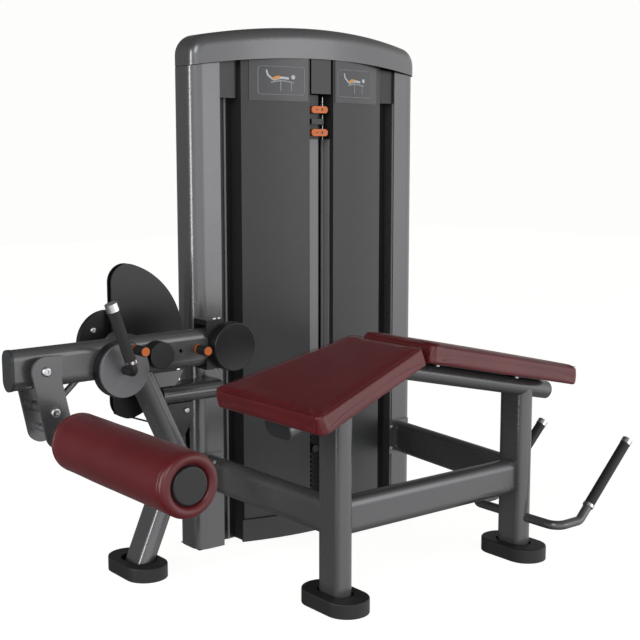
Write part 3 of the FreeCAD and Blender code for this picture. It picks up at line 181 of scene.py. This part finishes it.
class Look:
    """A node material: the shader with its texture coordinates and small helpers."""

    def __init__(self, name, colour, metallic, roughness, **sockets):
        self.mat = bpy.data.materials.new(name)
        self.mat.use_nodes = True
        self.nodes = self.mat.node_tree.nodes
        self.links = self.mat.node_tree.links
        self.shader = self.nodes["Principled BSDF"]
        self.colour = colour
        self.shader.inputs["Base Color"].default_value = (*colour, 1.0)
        self.shader.inputs["Metallic"].default_value = metallic
        self.shader.inputs["Roughness"].default_value = roughness
        for key, value in sockets.items():
            self.shader.inputs[key.replace("_", " ")].default_value = value
        self.coords = self.nodes.new("ShaderNodeTexCoord")
        self.normal = None

    def noise(self, scale, detail):
        tex = self.nodes.new("ShaderNodeTexNoise")
        tex.inputs["Scale"].default_value = scale
        tex.inputs["Detail"].default_value = detail
        self.links.new(self.coords.outputs["Object"], tex.inputs["Vector"])
        return tex.outputs["Fac"]

    def cells(self, scale):
        tex = self.nodes.new("ShaderNodeTexVoronoi")
        tex.feature = "DISTANCE_TO_EDGE"
        tex.inputs["Scale"].default_value = scale
        self.links.new(self.coords.outputs["Object"], tex.inputs["Vector"])
        return tex.outputs["Distance"]

    def vary_colour(self, value, dark, light):
        ramp = self.nodes.new("ShaderNodeValToRGB")
        ramp.color_ramp.elements[0].position, ramp.color_ramp.elements[1].position = NOISE_SPAN
        ramp.color_ramp.elements[0].color = tuple(c * dark for c in self.colour) + (1.0,)
        ramp.color_ramp.elements[1].color = tuple(min(1.0, c * light) for c in self.colour) + (1.0,)
        self.links.new(value, ramp.inputs["Fac"])
        self.links.new(ramp.outputs["Color"], self.shader.inputs["Base Color"])
        return self

    def vary_roughness(self, value, to_low, to_high):
        node = self.nodes.new("ShaderNodeMapRange")
        node.inputs["From Min"].default_value, node.inputs["From Max"].default_value = NOISE_SPAN
        node.inputs["To Min"].default_value = to_low
        node.inputs["To Max"].default_value = to_high
        self.links.new(value, node.inputs["Value"])
        self.links.new(node.outputs["Result"], self.shader.inputs["Roughness"])
        return self

    def bump(self, value, strength, distance):
        node = self.nodes.new("ShaderNodeBump")
        node.inputs["Strength"].default_value = strength
        node.inputs["Distance"].default_value = distance
        self.links.new(value, node.inputs["Height"])
        if self.normal:
            self.links.new(self.normal, node.inputs["Normal"])
        self.normal = node.outputs["Normal"]
        self.links.new(self.normal, self.shader.inputs["Normal"])
        return self


def powder_look(name, colour, metallic, roughness, coat):
    look = Look(name, colour, metallic, roughness, Coat_Weight=coat, Coat_Roughness=0.12)
    look.vary_colour(look.noise(1400.0, 2.0), 0.88, 1.14)
    look.vary_roughness(look.noise(16.0, 4.0), roughness - 0.015, roughness + 0.025)
    return look.bump(look.noise(420.0, 2.0), 0.06, 0.0004)


def powder_coat(*finish):
    return powder_look(*finish).mat


def moulded(name, colour, roughness, grain=900.0, depth=0.00025, coat=0.0):
    look = Look(name, colour, 0.0, roughness, Coat_Weight=coat, Coat_Roughness=0.25)
    look.vary_colour(look.noise(60.0, 5.0), 0.94, 1.07)
    look.vary_roughness(look.noise(30.0, 4.0), roughness - 0.02, roughness + 0.03)
    return look.bump(look.noise(grain, 3.0), 0.25, depth).mat


def plated_look(name, colour, roughness):
    look = Look(name, colour, 1.0, roughness)
    look.vary_colour(look.noise(60.0, 4.0), 0.93, 1.05)
    look.vary_roughness(look.noise(25.0, 5.0), max(0.03, roughness - 0.04), roughness + 0.08)
    return look


def plated(name, colour, roughness):
    return plated_look(name, colour, roughness).mat


def disc_paint(name, colour):
    look = Look(name, colour, 0.55, 0.34, Coat_Weight=0.3, Coat_Roughness=0.2)
    look.vary_colour(look.noise(40.0, 4.0), 0.93, 1.07)
    return look.vary_roughness(look.noise(20.0, 4.0), 0.3, 0.42).mat


def film_look(name, colour):
    look = Look(name, colour, 0.0, 0.3, Coat_Weight=0.25, Coat_Roughness=0.2)
    look.vary_colour(look.noise(25.0, 4.0), 0.95, 1.06)
    look.bump(look.noise(500.0, 3.0), 0.2, 0.0001)
    return look


def two_tone(look, axis, limits):
    """Turns the part of a CAD node between two heights or widths to plain black moulding."""
    low, high = limits
    split = look.nodes.new("ShaderNodeSeparateXYZ")
    look.links.new(look.coords.outputs["Object"], split.inputs[0])
    above = look.nodes.new("ShaderNodeMath")
    above.operation = "GREATER_THAN"
    above.inputs[1].default_value = low
    below = look.nodes.new("ShaderNodeMath")
    below.operation = "LESS_THAN"
    below.inputs[1].default_value = high
    both = look.nodes.new("ShaderNodeMath")
    both.operation = "MULTIPLY"
    look.links.new(split.outputs[axis], above.inputs[0])
    look.links.new(split.outputs[axis], below.inputs[0])
    look.links.new(above.outputs[0], both.inputs[0])
    look.links.new(below.outputs[0], both.inputs[1])
    moulding = (("Base Color", MOULDING_BLACK), ("Metallic", 0.0), ("Roughness", MOULDING_ROUGHNESS))
    for socket, value in moulding:
        target = look.shader.inputs[socket]
        mix = look.nodes.new("ShaderNodeMix")
        mix.data_type = "RGBA" if value is MOULDING_BLACK else "FLOAT"
        first = [i for i in mix.inputs if i.name == "A" and i.enabled][0]
        second = [i for i in mix.inputs if i.name == "B" and i.enabled][0]
        result = [o for o in mix.outputs if o.enabled][0]
        if target.is_linked:
            look.links.new(target.links[0].from_socket, first)
        else:
            first.default_value = target.default_value
        second.default_value = value
        look.links.new(both.outputs[0], mix.inputs["Factor"])
        look.links.new(result, target)
    return look.mat


def vinyl(name, colour):
    look = Look(name, colour, 0.0, 0.38, Sheen_Weight=0.09, Sheen_Roughness=0.35)
    look.shader.inputs["Sheen Tint"].default_value = (1.0, 0.7, 0.7, 1.0)
    look.shader.inputs["Specular IOR Level"].default_value = 0.5
    look.vary_colour(look.noise(7.0, 5.0), 0.9, 1.12)
    look.vary_roughness(look.noise(18.0, 5.0), 0.29, 0.38)
    look.bump(look.cells(520.0), 0.22, 0.00045)
    return look.bump(look.noise(45.0, 4.0), 0.10, 0.0012).mat


TOWER_MID_X = 370.0
BADGE_HALF = 42.0
LEVER_RING_Z = (-1.0, at(0, 0, 619.5).z)                     # the lever's stem, below its lower ring
TIE_BRACKET_Z = (at(0, 0, 330).z, at(0, 0, 457.5).z)         # the tapered bracket under the tie tube
BADGE_EDGE_X = (at(TOWER_MID_X - BADGE_HALF, 0, 0).x, at(TOWER_MID_X + BADGE_HALF, 0, 0).x)


def make_looks():
    frame_grey = ((0.128, 0.129, 0.133), 0.6, 0.26, 0.3)
    return {
        "paint": powder_coat("grey_powder_coat", *frame_grey),
        "bracket_paint": two_tone(powder_look("bracket_powder_coat", *frame_grey), "Z", TIE_BRACKET_Z),
        "trim_silver": powder_coat("trim_silver", (0.24, 0.242, 0.25), 0.0, 0.4, 0.0),
        "black_paint": powder_coat("black_powder_coat", (0.008, 0.008, 0.009), 0.0, 0.3, 0.0),
        "inner_paint": powder_coat("inner_black_paint", (0.012, 0.012, 0.012), 0.0, 0.5, 0.0),
        "stack": powder_coat("stack_enamel", (0.016, 0.016, 0.017), 0.1, 0.4, 0.2),
        "vinyl": vinyl("burgundy_vinyl", (0.105, 0.0075, 0.0105)),
        "welt": vinyl("burgundy_welt", (0.085, 0.006, 0.008)),
        "rubber": moulded("black_rubber", (0.012, 0.012, 0.013), 0.5, 700.0),
        "grip": moulded("grip_rubber", (0.012, 0.012, 0.013), 0.55, 1100.0, 0.0005),
        "plastic": moulded("black_plastic", (0.011, 0.011, 0.012), 0.4, 1200.0),
        "cap": moulded("end_cap_plastic", (0.03, 0.031, 0.033), 0.42, 1200.0),
        "shroud": moulded("shroud_plastic", (0.026, 0.027, 0.028), 0.4, 800.0, 0.0002, 0.05),
        "placard_line": moulded("placard_line", (0.26, 0.265, 0.28), 0.4),
        "placard_grey": moulded("placard_grey", (0.10, 0.102, 0.108), 0.4),
        "figure_light": moulded("figure_light", (0.48, 0.5, 0.55), 0.4),
        "figure_orange": moulded("figure_orange", (0.62, 0.27, 0.05), 0.4),
        "mark_black": moulded("mark_black", (0.02, 0.02, 0.02), 0.4),
        "accent": moulded("orange_plastic", (0.60, 0.135, 0.018), 0.4, 900.0, 0.0002),
        "two_tone_chrome": two_tone(plated_look("lever_chrome", (0.78, 0.78, 0.8), 0.1), "Z", LEVER_RING_Z),
        "two_tone_card": two_tone(film_look("placard_film", (0.042, 0.043, 0.047)), "X", BADGE_EDGE_X),
        "disc": disc_paint("disc_grey", (0.17, 0.172, 0.18)),
        "chrome": plated("chrome", (0.78, 0.78, 0.8), 0.1),
        "zinc": plated("zinc", (0.62, 0.62, 0.64), 0.26),
        "cable": moulded("cable_nylon", (0.006, 0.006, 0.006), 0.45, 2500.0, 0.0006),
    }


LOOKS = make_looks()

NODE_LOOKS = {
    "bench_posts": "paint", "floor_beams": "paint", "mount_plates": "bracket_paint", "frame_bolts": "zinc",
    "rubber_feet": "rubber", "pivot_post": "paint", "pivot_housing": "paint", "pad_rails": "paint",
    "rail_end_caps": "cap", "pad_plates": "black_paint", "head_grip_tubes": "paint", "head_grips": "grip",
    "head_grip_caps": "chrome", "tower_cap": "paint", "tower_columns": "paint", "tower_inner": "inner_paint",
    "recess_strips": "black_paint", "trim_strips": "trim_silver", "front_panels": "shroud",
    "placards": "two_tone_card",
    "resting_plates": "stack", "guide_rods": "chrome", "add_on_weights": "stack", "drive_cable": "cable",
    "lift_cable": "cable", "return_cable": "cable", "lifted_plates": "stack", "selector_stem": "zinc",
    "head_pulley_fork": "inner_paint", "head_cable": "cable", "head_pulley": "plastic",
    "entry_pulley": "plastic", "top_pulley": "plastic", "stack_pin": "plastic",
    "add_on_lever_lower": "accent", "add_on_lever_upper": "accent", "arm_beam": "paint",
    "arm_end_caps": "cap", "arm_bolts": "zinc", "arm_shafts": "zinc", "cam": "black_paint",
    "cam_hub": "black_paint", "pivot_cap": "plastic", "roller_brackets": "paint",
    "index_collar": "black_paint", "weight_pin_collar": "accent", "counterweight": "black_paint",
    "counterweight_bracket": "black_paint", "roller_core": "plastic", "selector_disc": "disc",
    "selector_lever": "two_tone_chrome", "selector_grip": "grip",
    "start_pin_collar": "accent", "start_pin": "plastic", "start_pin_button": "accent",
    "weight_pin": "plastic", "weight_pin_button": "accent",
}


def dress_nodes():
    for node, look in NODE_LOOKS.items():
        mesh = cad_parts[node].data
        mesh.materials.clear()
        mesh.materials.append(LOOKS[look])


# ---- mesh helpers ----
def new_piece(name, mesh_builder, look, body, smooth=True):
    mesh = bpy.data.meshes.new(name)
    mesh_builder.to_mesh(mesh)
    mesh_builder.free()
    for polygon in mesh.polygons:
        polygon.use_smooth = smooth
    mesh.materials.append(LOOKS[look])
    piece = bpy.data.objects.new(name, mesh)
    bpy.context.scene.collection.objects.link(piece)
    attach(piece, body)
    return piece


def ring_strip(bm, loops, closed_ends=True, wrap=False):
    """Skin over a list of vertex loops of equal length."""
    count = len(loops[0])
    pairs = list(zip(loops, loops[1:]))
    if wrap:
        pairs.append((loops[-1], loops[0]))
    for a, b in pairs:
        for i in range(count):
            j = (i + 1) % count
            bm.faces.new((a[i], a[j], b[j], b[i]))
    if closed_ends and not wrap:
        bm.faces.new(list(reversed(loops[0])))
        bm.faces.new(loops[-1])
    bmesh.ops.recalc_face_normals(bm, faces=bm.faces)


def sweep_ring(points, radius, sides, flatten, up):
    """Closed tube through a closed list of points, flattened along its up direction."""
    bm = bmesh.new()
    count = len(points)
    loops = []
    for i, p in enumerate(points):
        along = (points[(i + 1) % count] - points[i - 1]).normalized()
        side = along.cross(up).normalized()
        rise = side.cross(along).normalized()
        ring = []
        for k in range(sides):
            a = 2 * math.pi * k / sides
            across = side * (radius * math.cos(a))
            ring.append(bm.verts.new(p + across + rise * (radius * flatten * math.sin(a))))
        loops.append(ring)
    ring_strip(bm, loops, wrap=True)
    return bm


def revolve(profile, centre, axis, sides):
    """Open surface of revolution: profile points are (distance along the axis, radius), in metres."""
    bm = bmesh.new()
    axis = axis.normalized()
    side = axis.orthogonal().normalized()
    other = axis.cross(side)
    loops = []
    for along, radius in profile:
        ring = []
        for k in range(sides):
            a = 2 * math.pi * k / sides
            outward = side * math.cos(a) + other * math.sin(a)
            ring.append(bm.verts.new(centre + axis * along + outward * radius))
        loops.append(ring)
    ring_strip(bm, loops, closed_ends=False)
    return bm


# ---- upholstered pads ----
PAD_THICK = 50.0 * MM
PAD_VOXEL = 0.0045
PAD_CROWN = 0.002          # rise of the middle over the top edge
PAD_EDGE = 0.007           # radius of the top edge
PAD_RISE = 0.001           # how far the cover's top stands over the plain cushion's
WELT_RADIUS = 0.0011
WELT_SINK = 0.0006
SWELL_CAP = 0.004          # furthest the cloth solver may move a point
SWELL_FRAMES = 20
SEAM_INSET = 0.0085        # from the pad's outline in to the seam on its top


def rounded_outline(corners):
    """Closed plan outline from (u, v, radius) corners, as evenly spaced points in metres."""
    step = 0.006
    points = []
    count = len(corners)
    arcs = []
    for i in range(count):
        p = Vector(corners[i][:2])
        radius = corners[i][2]
        before = (p - Vector(corners[i - 1][:2])).normalized()
        after = (Vector(corners[(i + 1) % count][:2]) - p).normalized()
        half = before.angle(after) / 2.0
        setback = radius * math.tan(half)
        centre = p + (after - before).normalized() * (radius / math.cos(half))
        arcs.append((p - before * setback, p + after * setback, centre, half * 2.0))
    for i, (first, last, centre, turn) in enumerate(arcs):
        radius = (first - centre).length
        pieces = max(4, int(radius * turn / step))
        start = (first - centre).angle_signed(Vector((1, 0)))
        sign = 1.0 if (first - centre).angle_signed(last - centre) < 0 else -1.0
        for k in range(pieces):
            a = start + sign * turn * k / pieces
            points.append(centre + Vector((math.cos(a), math.sin(a))) * radius)
        nxt = arcs[(i + 1) % count][0]
        run = (nxt - last).length
        pieces = max(2, int(run / step))
        for k in range(pieces):
            points.append(last.lerp(nxt, k / pieces))
    return points


def offset_outline(points, distance):
    """The outline moved inward by a distance."""
    centre = sum(points, Vector((0, 0))) / len(points)
    moved = []
    for i, p in enumerate(points):
        along = (points[(i + 1) % len(points)] - points[i - 1]).normalized()
        normal = Vector((-along.y, along.x))
        if normal.dot(centre - p) < 0:
            normal = -normal
        moved.append(p + normal * distance)
    return moved


def pad_block(outline, thick, edge, crown):
    """Closed soft form: flat base, slightly bellied sides, rounded top edge and a crowned top."""
    bm = bmesh.new()
    loops = []

    def add_loop(points, height):
        loops.append([bm.verts.new((p.x, p.y, height)) for p in points])

    base_inset, side_inset, top_inset = 0.004, 0.0018, 0.0012
    add_loop(offset_outline(outline, base_inset), 0.0)
    for share in (0.08, 0.25, 0.45, 0.62):
        belly = math.sin(math.pi * share) * 0.0015
        add_loop(offset_outline(outline, side_inset - belly), thick * share)
    for k in range(6):
        a = math.pi / 2.0 * k / 5.0
        level = thick - crown - edge * (1 - math.sin(a))
        add_loop(offset_outline(outline, top_inset + edge * (1 - math.cos(a))), level)
    centre = sum(outline, Vector((0, 0))) / len(outline)
    inner = offset_outline(outline, top_inset + edge)
    for share in (0.85, 0.65, 0.45, 0.25, 0.1):
        level = thick - crown + crown * (1.0 - share ** 2)
        add_loop([centre + (p - centre) * share for p in inner], level)
    ring_strip(bm, loops)
    return bm


def remesh(piece, voxel):
    modifier = piece.modifiers.new("remesh", "REMESH")
    modifier.mode = "VOXEL"
    modifier.voxel_size = voxel
    bake_modifiers(piece)


def puff(piece, pressure, cap, base):
    """Inflate with the cloth solver and cap the swelling, in the piece's own space."""
    rest = [v.co.copy() for v in piece.data.vertices]
    group = piece.vertex_groups.new(name="base")
    group.add([i for i, co in enumerate(rest) if co.z < base], 1.0, "REPLACE")
    cloth = piece.modifiers.new("cloth", "CLOTH")
    settings = cloth.settings
    settings.vertex_group_mass = "base"
    settings.use_pressure = True
    settings.uniform_pressure_force = pressure
    settings.effector_weights.gravity = 0.0
    settings.quality = 5
    settings.tension_stiffness = 20.0
    settings.compression_stiffness = 20.0
    settings.bending_stiffness = 1.5
    cloth.point_cache.frame_start = 1
    cloth.point_cache.frame_end = SWELL_FRAMES
    scene = bpy.context.scene
    for number in range(1, SWELL_FRAMES + 1):
        scene.frame_set(number)
    bake_modifiers(piece)
    scene.frame_set(1)
    for vertex, start in zip(piece.data.vertices, rest):
        move = vertex.co - start
        if move.length > cap:
            vertex.co = start + move.normalized() * cap


def bake_modifiers(piece):
    """Replaces the mesh by its evaluated form, and drops the modifiers."""
    graph = bpy.context.evaluated_depsgraph_get()
    graph.update()
    mesh = bpy.data.meshes.new_from_object(piece.evaluated_get(graph))
    old = piece.data
    piece.modifiers.clear()
    piece.data = mesh
    mesh.name = old.name
    bpy.data.meshes.remove(old)


def refine(piece):
    modifier = piece.modifiers.new("subdivision", "SUBSURF")
    modifier.levels = 1
    modifier.render_levels = 1
    bake_modifiers(piece)
    for polygon in piece.data.polygons:
        polygon.use_smooth = True


def pad_matrix(point, slope):
    """Local u runs along the rail, v along Y and w square to the pad."""
    turn = Matrix.Rotation(-slope, 4, "Y")
    return Matrix.Translation(point) @ turn


def make_pad(name, node, corners, point, slope):
    outline = rounded_outline([(u * MM, v * MM, r * MM) for u, v, r in corners])
    place = pad_matrix(point, slope)
    bm = pad_block(outline, PAD_THICK + PAD_RISE, PAD_EDGE, PAD_CROWN)
    mesh = bpy.data.meshes.new(name)
    bm.to_mesh(mesh)
    bm.free()
    pad = bpy.data.objects.new(name, mesh)
    bpy.context.scene.collection.objects.link(pad)
    remesh(pad, PAD_VOXEL)
    puff(pad, 4.0, SWELL_CAP, 0.003)
    press_seam(pad, outline)
    refine(pad)
    pad.data.transform(place)
    pad.data.materials.clear()
    pad.data.materials.append(LOOKS["vinyl"])
    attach(pad, "frame")
    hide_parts(node)
    level = PAD_THICK - WELT_SINK
    line = [place @ Vector((p.x, p.y, level)) for p in offset_outline(outline, SEAM_INSET)]
    up = place.to_3x3() @ Vector((0, 0, 1))
    new_piece(name + "_welt", sweep_ring(line, WELT_RADIUS, 8, 0.7, up), "welt", "frame")


def press_seam(pad, outline):
    """Draws the cover in a little along the seam that runs round the top edge."""
    reach = 0.006
    depth = 0.0012
    tree = KDTree(len(outline))
    for i, p in enumerate(offset_outline(outline, SEAM_INSET)):
        tree.insert((p.x, p.y, 0.0), i)
    tree.balance()
    for vertex in pad.data.vertices:
        if vertex.co.z < PAD_THICK * 0.7:
            continue
        near = tree.find((vertex.co.x, vertex.co.y, 0.0))[2]
        if near < reach:
            vertex.co.z -= depth * (1.0 - near / reach)


# ---- build ----
bpy.context.scene.view_settings.view_transform = "Standard"
make_camera()
make_world()
make_stage()
area_light("key_left", (-4200, -2600, 3600), (100, 200, 600), (2.4, 2.4), 75.0)
area_light("strip_left", (-4200, 1000, 1200), (0, 400, 700), (0.7, 3.2), 75.0)
area_light("front_right", (3000, -4200, 1500), (300, 200, 700), (2.6, 3.2), 26.0)
dress_nodes()

THIGH_SLOPE = math.radians(16.0)
CHEST_SLOPE = math.radians(-12.2)
THIGH_RAIL_Z = 532.1       # the rails' centre lines, carried on to x = 0
CHEST_RAIL_Z = 628.7
THIGH_X = (-222.0, 167.0)  # the top corners of each cushion along the bench
CHEST_X = (193.5, 743.0)
THIGH_HALF = (216, 135)    # half widths at the knee end and the middle
CHEST_HALF = 145
SEAT = 29.0                # from a rail's centre line up to its cushion
TOP = 50.0 + SEAT
GROW = 2.5                 # the cover stands a little proud of the plain cushion solid


def rail_point(x, height, slope, rail_z):
    """Point over a pad rail, square to its centre line, at a bench coordinate x along it."""
    return at(x - height * math.sin(slope), 0.0, rail_z + math.tan(slope) * x + height * math.cos(slope))


def make_pads():
    along = 1.0 / math.cos(THIGH_SLOPE)
    shift = TOP * math.sin(THIGH_SLOPE)
    u0 = (THIGH_X[0] - GROW + shift) * along
    u1 = (THIGH_X[1] + GROW + shift) * along
    wide, narrow = (half + GROW for half in THIGH_HALF)
    corners = [(u0, -wide, 20), (u1, -narrow, 13), (u1, narrow, 24), (u0, wide, 16)]
    point = rail_point(0.0, SEAT, THIGH_SLOPE, THIGH_RAIL_Z)
    make_pad("thigh_cushion", "thigh_pad", corners, point, THIGH_SLOPE)
    along = 1.0 / math.cos(CHEST_SLOPE)
    shift = TOP * math.sin(CHEST_SLOPE)
    u0 = (CHEST_X[0] + shift) * along
    u1 = (CHEST_X[1] + GROW + shift) * along
    half = CHEST_HALF + GROW
    corners = [(u0, -half, 17), (u1, -half, 9), (u1, half, 10), (u0, half, 40)]
    point = rail_point(0.0, SEAT, CHEST_SLOPE, CHEST_RAIL_Z)
    make_pad("chest_cushion", "chest_pad", corners, point, CHEST_SLOPE)


ROLLER = (-564.0, 458.0)
ROLLER_ENDS = (-230.0, 270.0)
ROLLER_R = 70.5


def make_roller():
    """Sewn roller sleeve: rounded rims turned in to the end caps, and a seam behind each rim."""
    y0, y1 = ROLLER_ENDS
    rim = 15.0
    crease = 19.0
    inner = 43.0
    profile = [(y0 + 16.0, 30.2), (y0 + 10.5, 31.0), (y0 + 10.2, inner)]
    lip = (ROLLER_R - inner) / 2.0
    mid = inner + lip
    for k in range(13):
        a = math.pi * k / 12.0
        profile.append((y0 + 0.2 + rim * (1.0 - math.sin(a)), mid - lip * math.cos(a)))
    seam = y0 + crease
    profile += [(seam - 2.0, ROLLER_R), (seam - 0.8, ROLLER_R - 0.2), (seam, ROLLER_R - 0.9),
                (seam + 0.8, ROLLER_R - 0.2), (seam + 2.5, ROLLER_R)]
    for k in range(1, 24):
        share = k / 24.0
        profile.append((y0 + crease + 4 + (y1 - y0 - 2 * crease - 8) * share,
                        ROLLER_R - 0.3 + 0.3 * math.sin(math.pi * share)))
    seam = y1 - crease
    profile += [(seam - 2.5, ROLLER_R), (seam - 0.8, ROLLER_R - 0.5), (seam, ROLLER_R - 1.5),
                (seam + 0.8, ROLLER_R - 0.5)]
    for k in range(9):
        a = math.pi / 2.0 * k / 8.0
        profile.append((y1 - rim + rim * math.sin(a), ROLLER_R - rim * (1.0 - math.cos(a))))
    profile += [(y1, 45.0), (y1 - 0.5, 31.0), (y1 - 3.5, 30.2)]
    centre = at(ROLLER[0], 0.0, ROLLER[1])
    bm = revolve([(y * MM, r * MM) for y, r in profile], centre, Vector((0, 1, 0)), 128)
    for vertex in bm.verts:
        offset = vertex.co - centre
        radial = Vector((offset.x, 0, offset.z))
        if radial.length > 0.06:
            push = noise.noise(vertex.co * 9.0) * 0.0007
            vertex.co += radial.normalized() * push
    sleeve = new_piece("roller_sleeve", bm, "vinyl", "roller")
    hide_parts("roller_pad")


# ---- placards ----
STROKE_STEP = 6.0          # longest straight stretch of a line on a bowed card


def card_y(x):
    """Front face of the bowed cards on the panels, from the same shallow arc as the panels."""
    outer, slot, drop = 258.0, 44.0, 38.0
    radius = (outer ** 2 - slot ** 2 + drop ** 2) / (2.0 * drop)
    middle = 520.0 + math.sqrt(radius ** 2 - slot ** 2)
    return middle - math.sqrt(radius ** 2 - (x - TOWER_MID_X) ** 2) - 2.0


def stroke(name, points, width, look, closed=False):
    """Thin raised line that follows a card's bow, through (x, z) points, with bevelled sides."""
    bm = bmesh.new()
    loops = []
    corners = list(points) + ([points[0]] if closed else [])
    points = corners[:1]
    for end in corners[1:]:
        start = points[-1]
        dx, dz = end[0] - start[0], end[1] - start[1]
        steps = max(1, math.ceil(math.dist(start, end) / STROKE_STEP))
        points += [(start[0] + dx * k / steps, start[1] + dz * k / steps) for k in range(1, steps + 1)]
    if closed:
        points.pop()
    count = len(points)
    for i, p in enumerate(points):
        before = points[i - 1] if (i > 0 or closed) else p
        after = points[(i + 1) % count] if (i < count - 1 or closed) else p
        along = (Vector(after) - Vector(before)).normalized()
        side = Vector((-along.y, along.x)) * (width / 2.0)
        ring = []
        for across, lift in ((-1.0, 0.1), (-0.7, -0.7), (0.7, -0.7), (1.0, 0.1)):
            x = p[0] + side.x * across
            z = p[1] + side.y * across
            ring.append(bm.verts.new(at(x, card_y(x) + lift, z)))
        loops.append(ring)
    ring_strip(bm, loops, wrap=closed)
    return new_piece(name, bm, look, "frame")


def rounded_frame(x0, x1, z0, z1, r):
    points = []
    corners = ((x1 - r, z1 - r, 0), (x0 + r, z1 - r, 90), (x0 + r, z0 + r, 180), (x1 - r, z0 + r, 270))
    for cx, cz, start in corners:
        for k in range(7):
            a = math.radians(start + 15 * k)
            points.append((cx + r * math.cos(a), cz + r * math.sin(a)))
    return points


def blob(cx, cz, half_x, half_z, lean=0.0):
    """Points of a leaning ellipse."""
    points = []
    for k in range(20):
        a = 2 * math.pi * k / 20
        u = half_x * math.cos(a)
        v = half_z * math.sin(a)
        points.append((cx + u * math.cos(lean) - v * math.sin(lean),
                       cz + u * math.sin(lean) + v * math.cos(lean)))
    return points


def spot(name, points, look):
    """Small filled mark on a card."""
    bm = bmesh.new()
    cx = sum(p[0] for p in points) / len(points)
    cz = sum(p[1] for p in points) / len(points)
    loops = []
    for share, lift in ((1.0, 0.1), (0.94, -0.9), (0.5, -1.0)):
        ring = []
        for x, z in points:
            px = cx + (x - cx) * share
            ring.append(bm.verts.new(at(px, card_y(px) + lift, cz + (z - cz) * share)))
        loops.append(ring)
    ring_strip(bm, loops)
    return new_piece(name, bm, look, "frame")


def make_placards():
    """Plain outlines with a simple pictogram: a bench, a lying figure, and the working muscle in orange."""
    for side, x0, x1 in (("left", 160.0, 306.0), ("right", 430.0, 578.0)):
        z0, z1 = 1296.0, 1374.0
        stroke("card_line_" + side, rounded_frame(x0, x1, z0, z1, 9.0), 1.6, "placard_line", closed=True)
        cx = (x0 + x1) / 2.0
        stroke("card_bench_" + side, [(cx - 34, 1329), (cx - 4, 1335), (cx + 38, 1330)], 5.0, "placard_line")
        stroke("card_leg_a_" + side, [(cx - 4, 1334), (cx - 4, 1304)], 3.2, "placard_line")
        stroke("card_leg_b_" + side, [(cx + 30, 1331), (cx + 30, 1304)], 3.2, "placard_line")
        stroke("card_body_" + side, [(cx - 28, 1337), (cx - 4, 1343), (cx + 22, 1341)], 8.0, "figure_light")
        spot("card_head_" + side, blob(cx + 36, 1345, 6.5, 6.5), "figure_light")
        stroke("card_shin_" + side, [(cx - 28, 1337), (cx - 44, 1350), (cx - 48, 1364)], 5.5, "figure_light")
        spot("card_muscle_" + side, blob(cx - 17, 1343, 13.0, 5.0, math.radians(14)), "figure_orange")


def make_lever_marks():
    """A short bar and a cross on each orange lever, telling less from more."""
    face = 527.6
    marks = (("bar", -10.0, 4.0, 1.1), ("across", 9.0, 4.5, 1.1), ("upright", 9.0, 1.1, 4.5))
    for body, z in (("lever_lower", 1191.0), ("lever_upper", 1257.0)):
        for name, dx, half_x, half_z in marks:
            bm = bmesh.new()
            loops = []
            for y, share in ((face + 0.6, 1.0), (face, 1.0), (face - 0.1, 0.8)):
                ring = []
                for sx, sz in ((-1, -1), (1, -1), (1, 1), (-1, 1)):
                    x = TOWER_MID_X + dx + sx * half_x * share
                    ring.append(bm.verts.new(at(x, y, z + sz * half_z * share)))
                loops.append(ring)
            ring_strip(bm, loops)
            new_piece(body + "_" + name, bm, "mark_black", body, smooth=False)


def make_slot_strip():
    """Bright strip on the right wall of the slot, beside the rail."""
    x0, x1 = 412.4, 413.8
    y0, y1 = 538.0, 562.0
    z0, z1 = 500.0, 1172.0
    edge = 0.5
    bm = bmesh.new()
    loops = []
    for z, inset in ((z0, edge), (z0 + edge, 0.0), (z1 - edge, 0.0), (z1, edge)):
        near, far = y0 + inset, y1 - inset
        section = ((x0 + edge, near), (x1, near), (x1, far), (x0 + edge, far), (x0, far - edge),
                   (x0, near + edge))
        loops.append([bm.verts.new(at(x, y, z)) for x, y in section])
    ring_strip(bm, loops)
    new_piece("slot_strip", bm, "trim_silver", "frame", smooth=False)


def make_cap_gaskets():
    """Dark gasket in the open seam between each column and the arched cap."""
    inset = 1.2
    half = 412.0
    rise = 31.0
    arch_z = 1400.0
    column = 88.0
    radius = (half ** 2 + rise ** 2) / (2.0 * rise)
    y0, y1 = 565.0 + inset, 680.0 - inset
    r = 36.0 - inset
    for side, name in ((-1, "left"), (1, "right")):
        outline = [(column - inset, y0), (column - inset, y1)]
        for cy, start in ((y1 - r, 90), (y0 + r, 180)):
            for k in range(10):
                a = math.radians(start + 10 * k)
                outline.append((inset + r + r * math.cos(a), cy + r * math.sin(a)))
        bm = bmesh.new()
        loops = []
        for lift in (-2.6, 0.4):
            ring = []
            for u, y in outline:
                x = TOWER_MID_X + side * (half - u)
                under = arch_z - radius + math.sqrt(radius ** 2 - (x - TOWER_MID_X) ** 2)
                ring.append(bm.verts.new(at(x, y, under + lift)))
            loops.append(ring)
        ring_strip(bm, loops)
        new_piece("cap_gasket_" + name, bm, "rubber", "frame", smooth=False)


make_pads()
make_roller()
make_slot_strip()
make_cap_gaskets()
make_placards()
make_lever_marks()
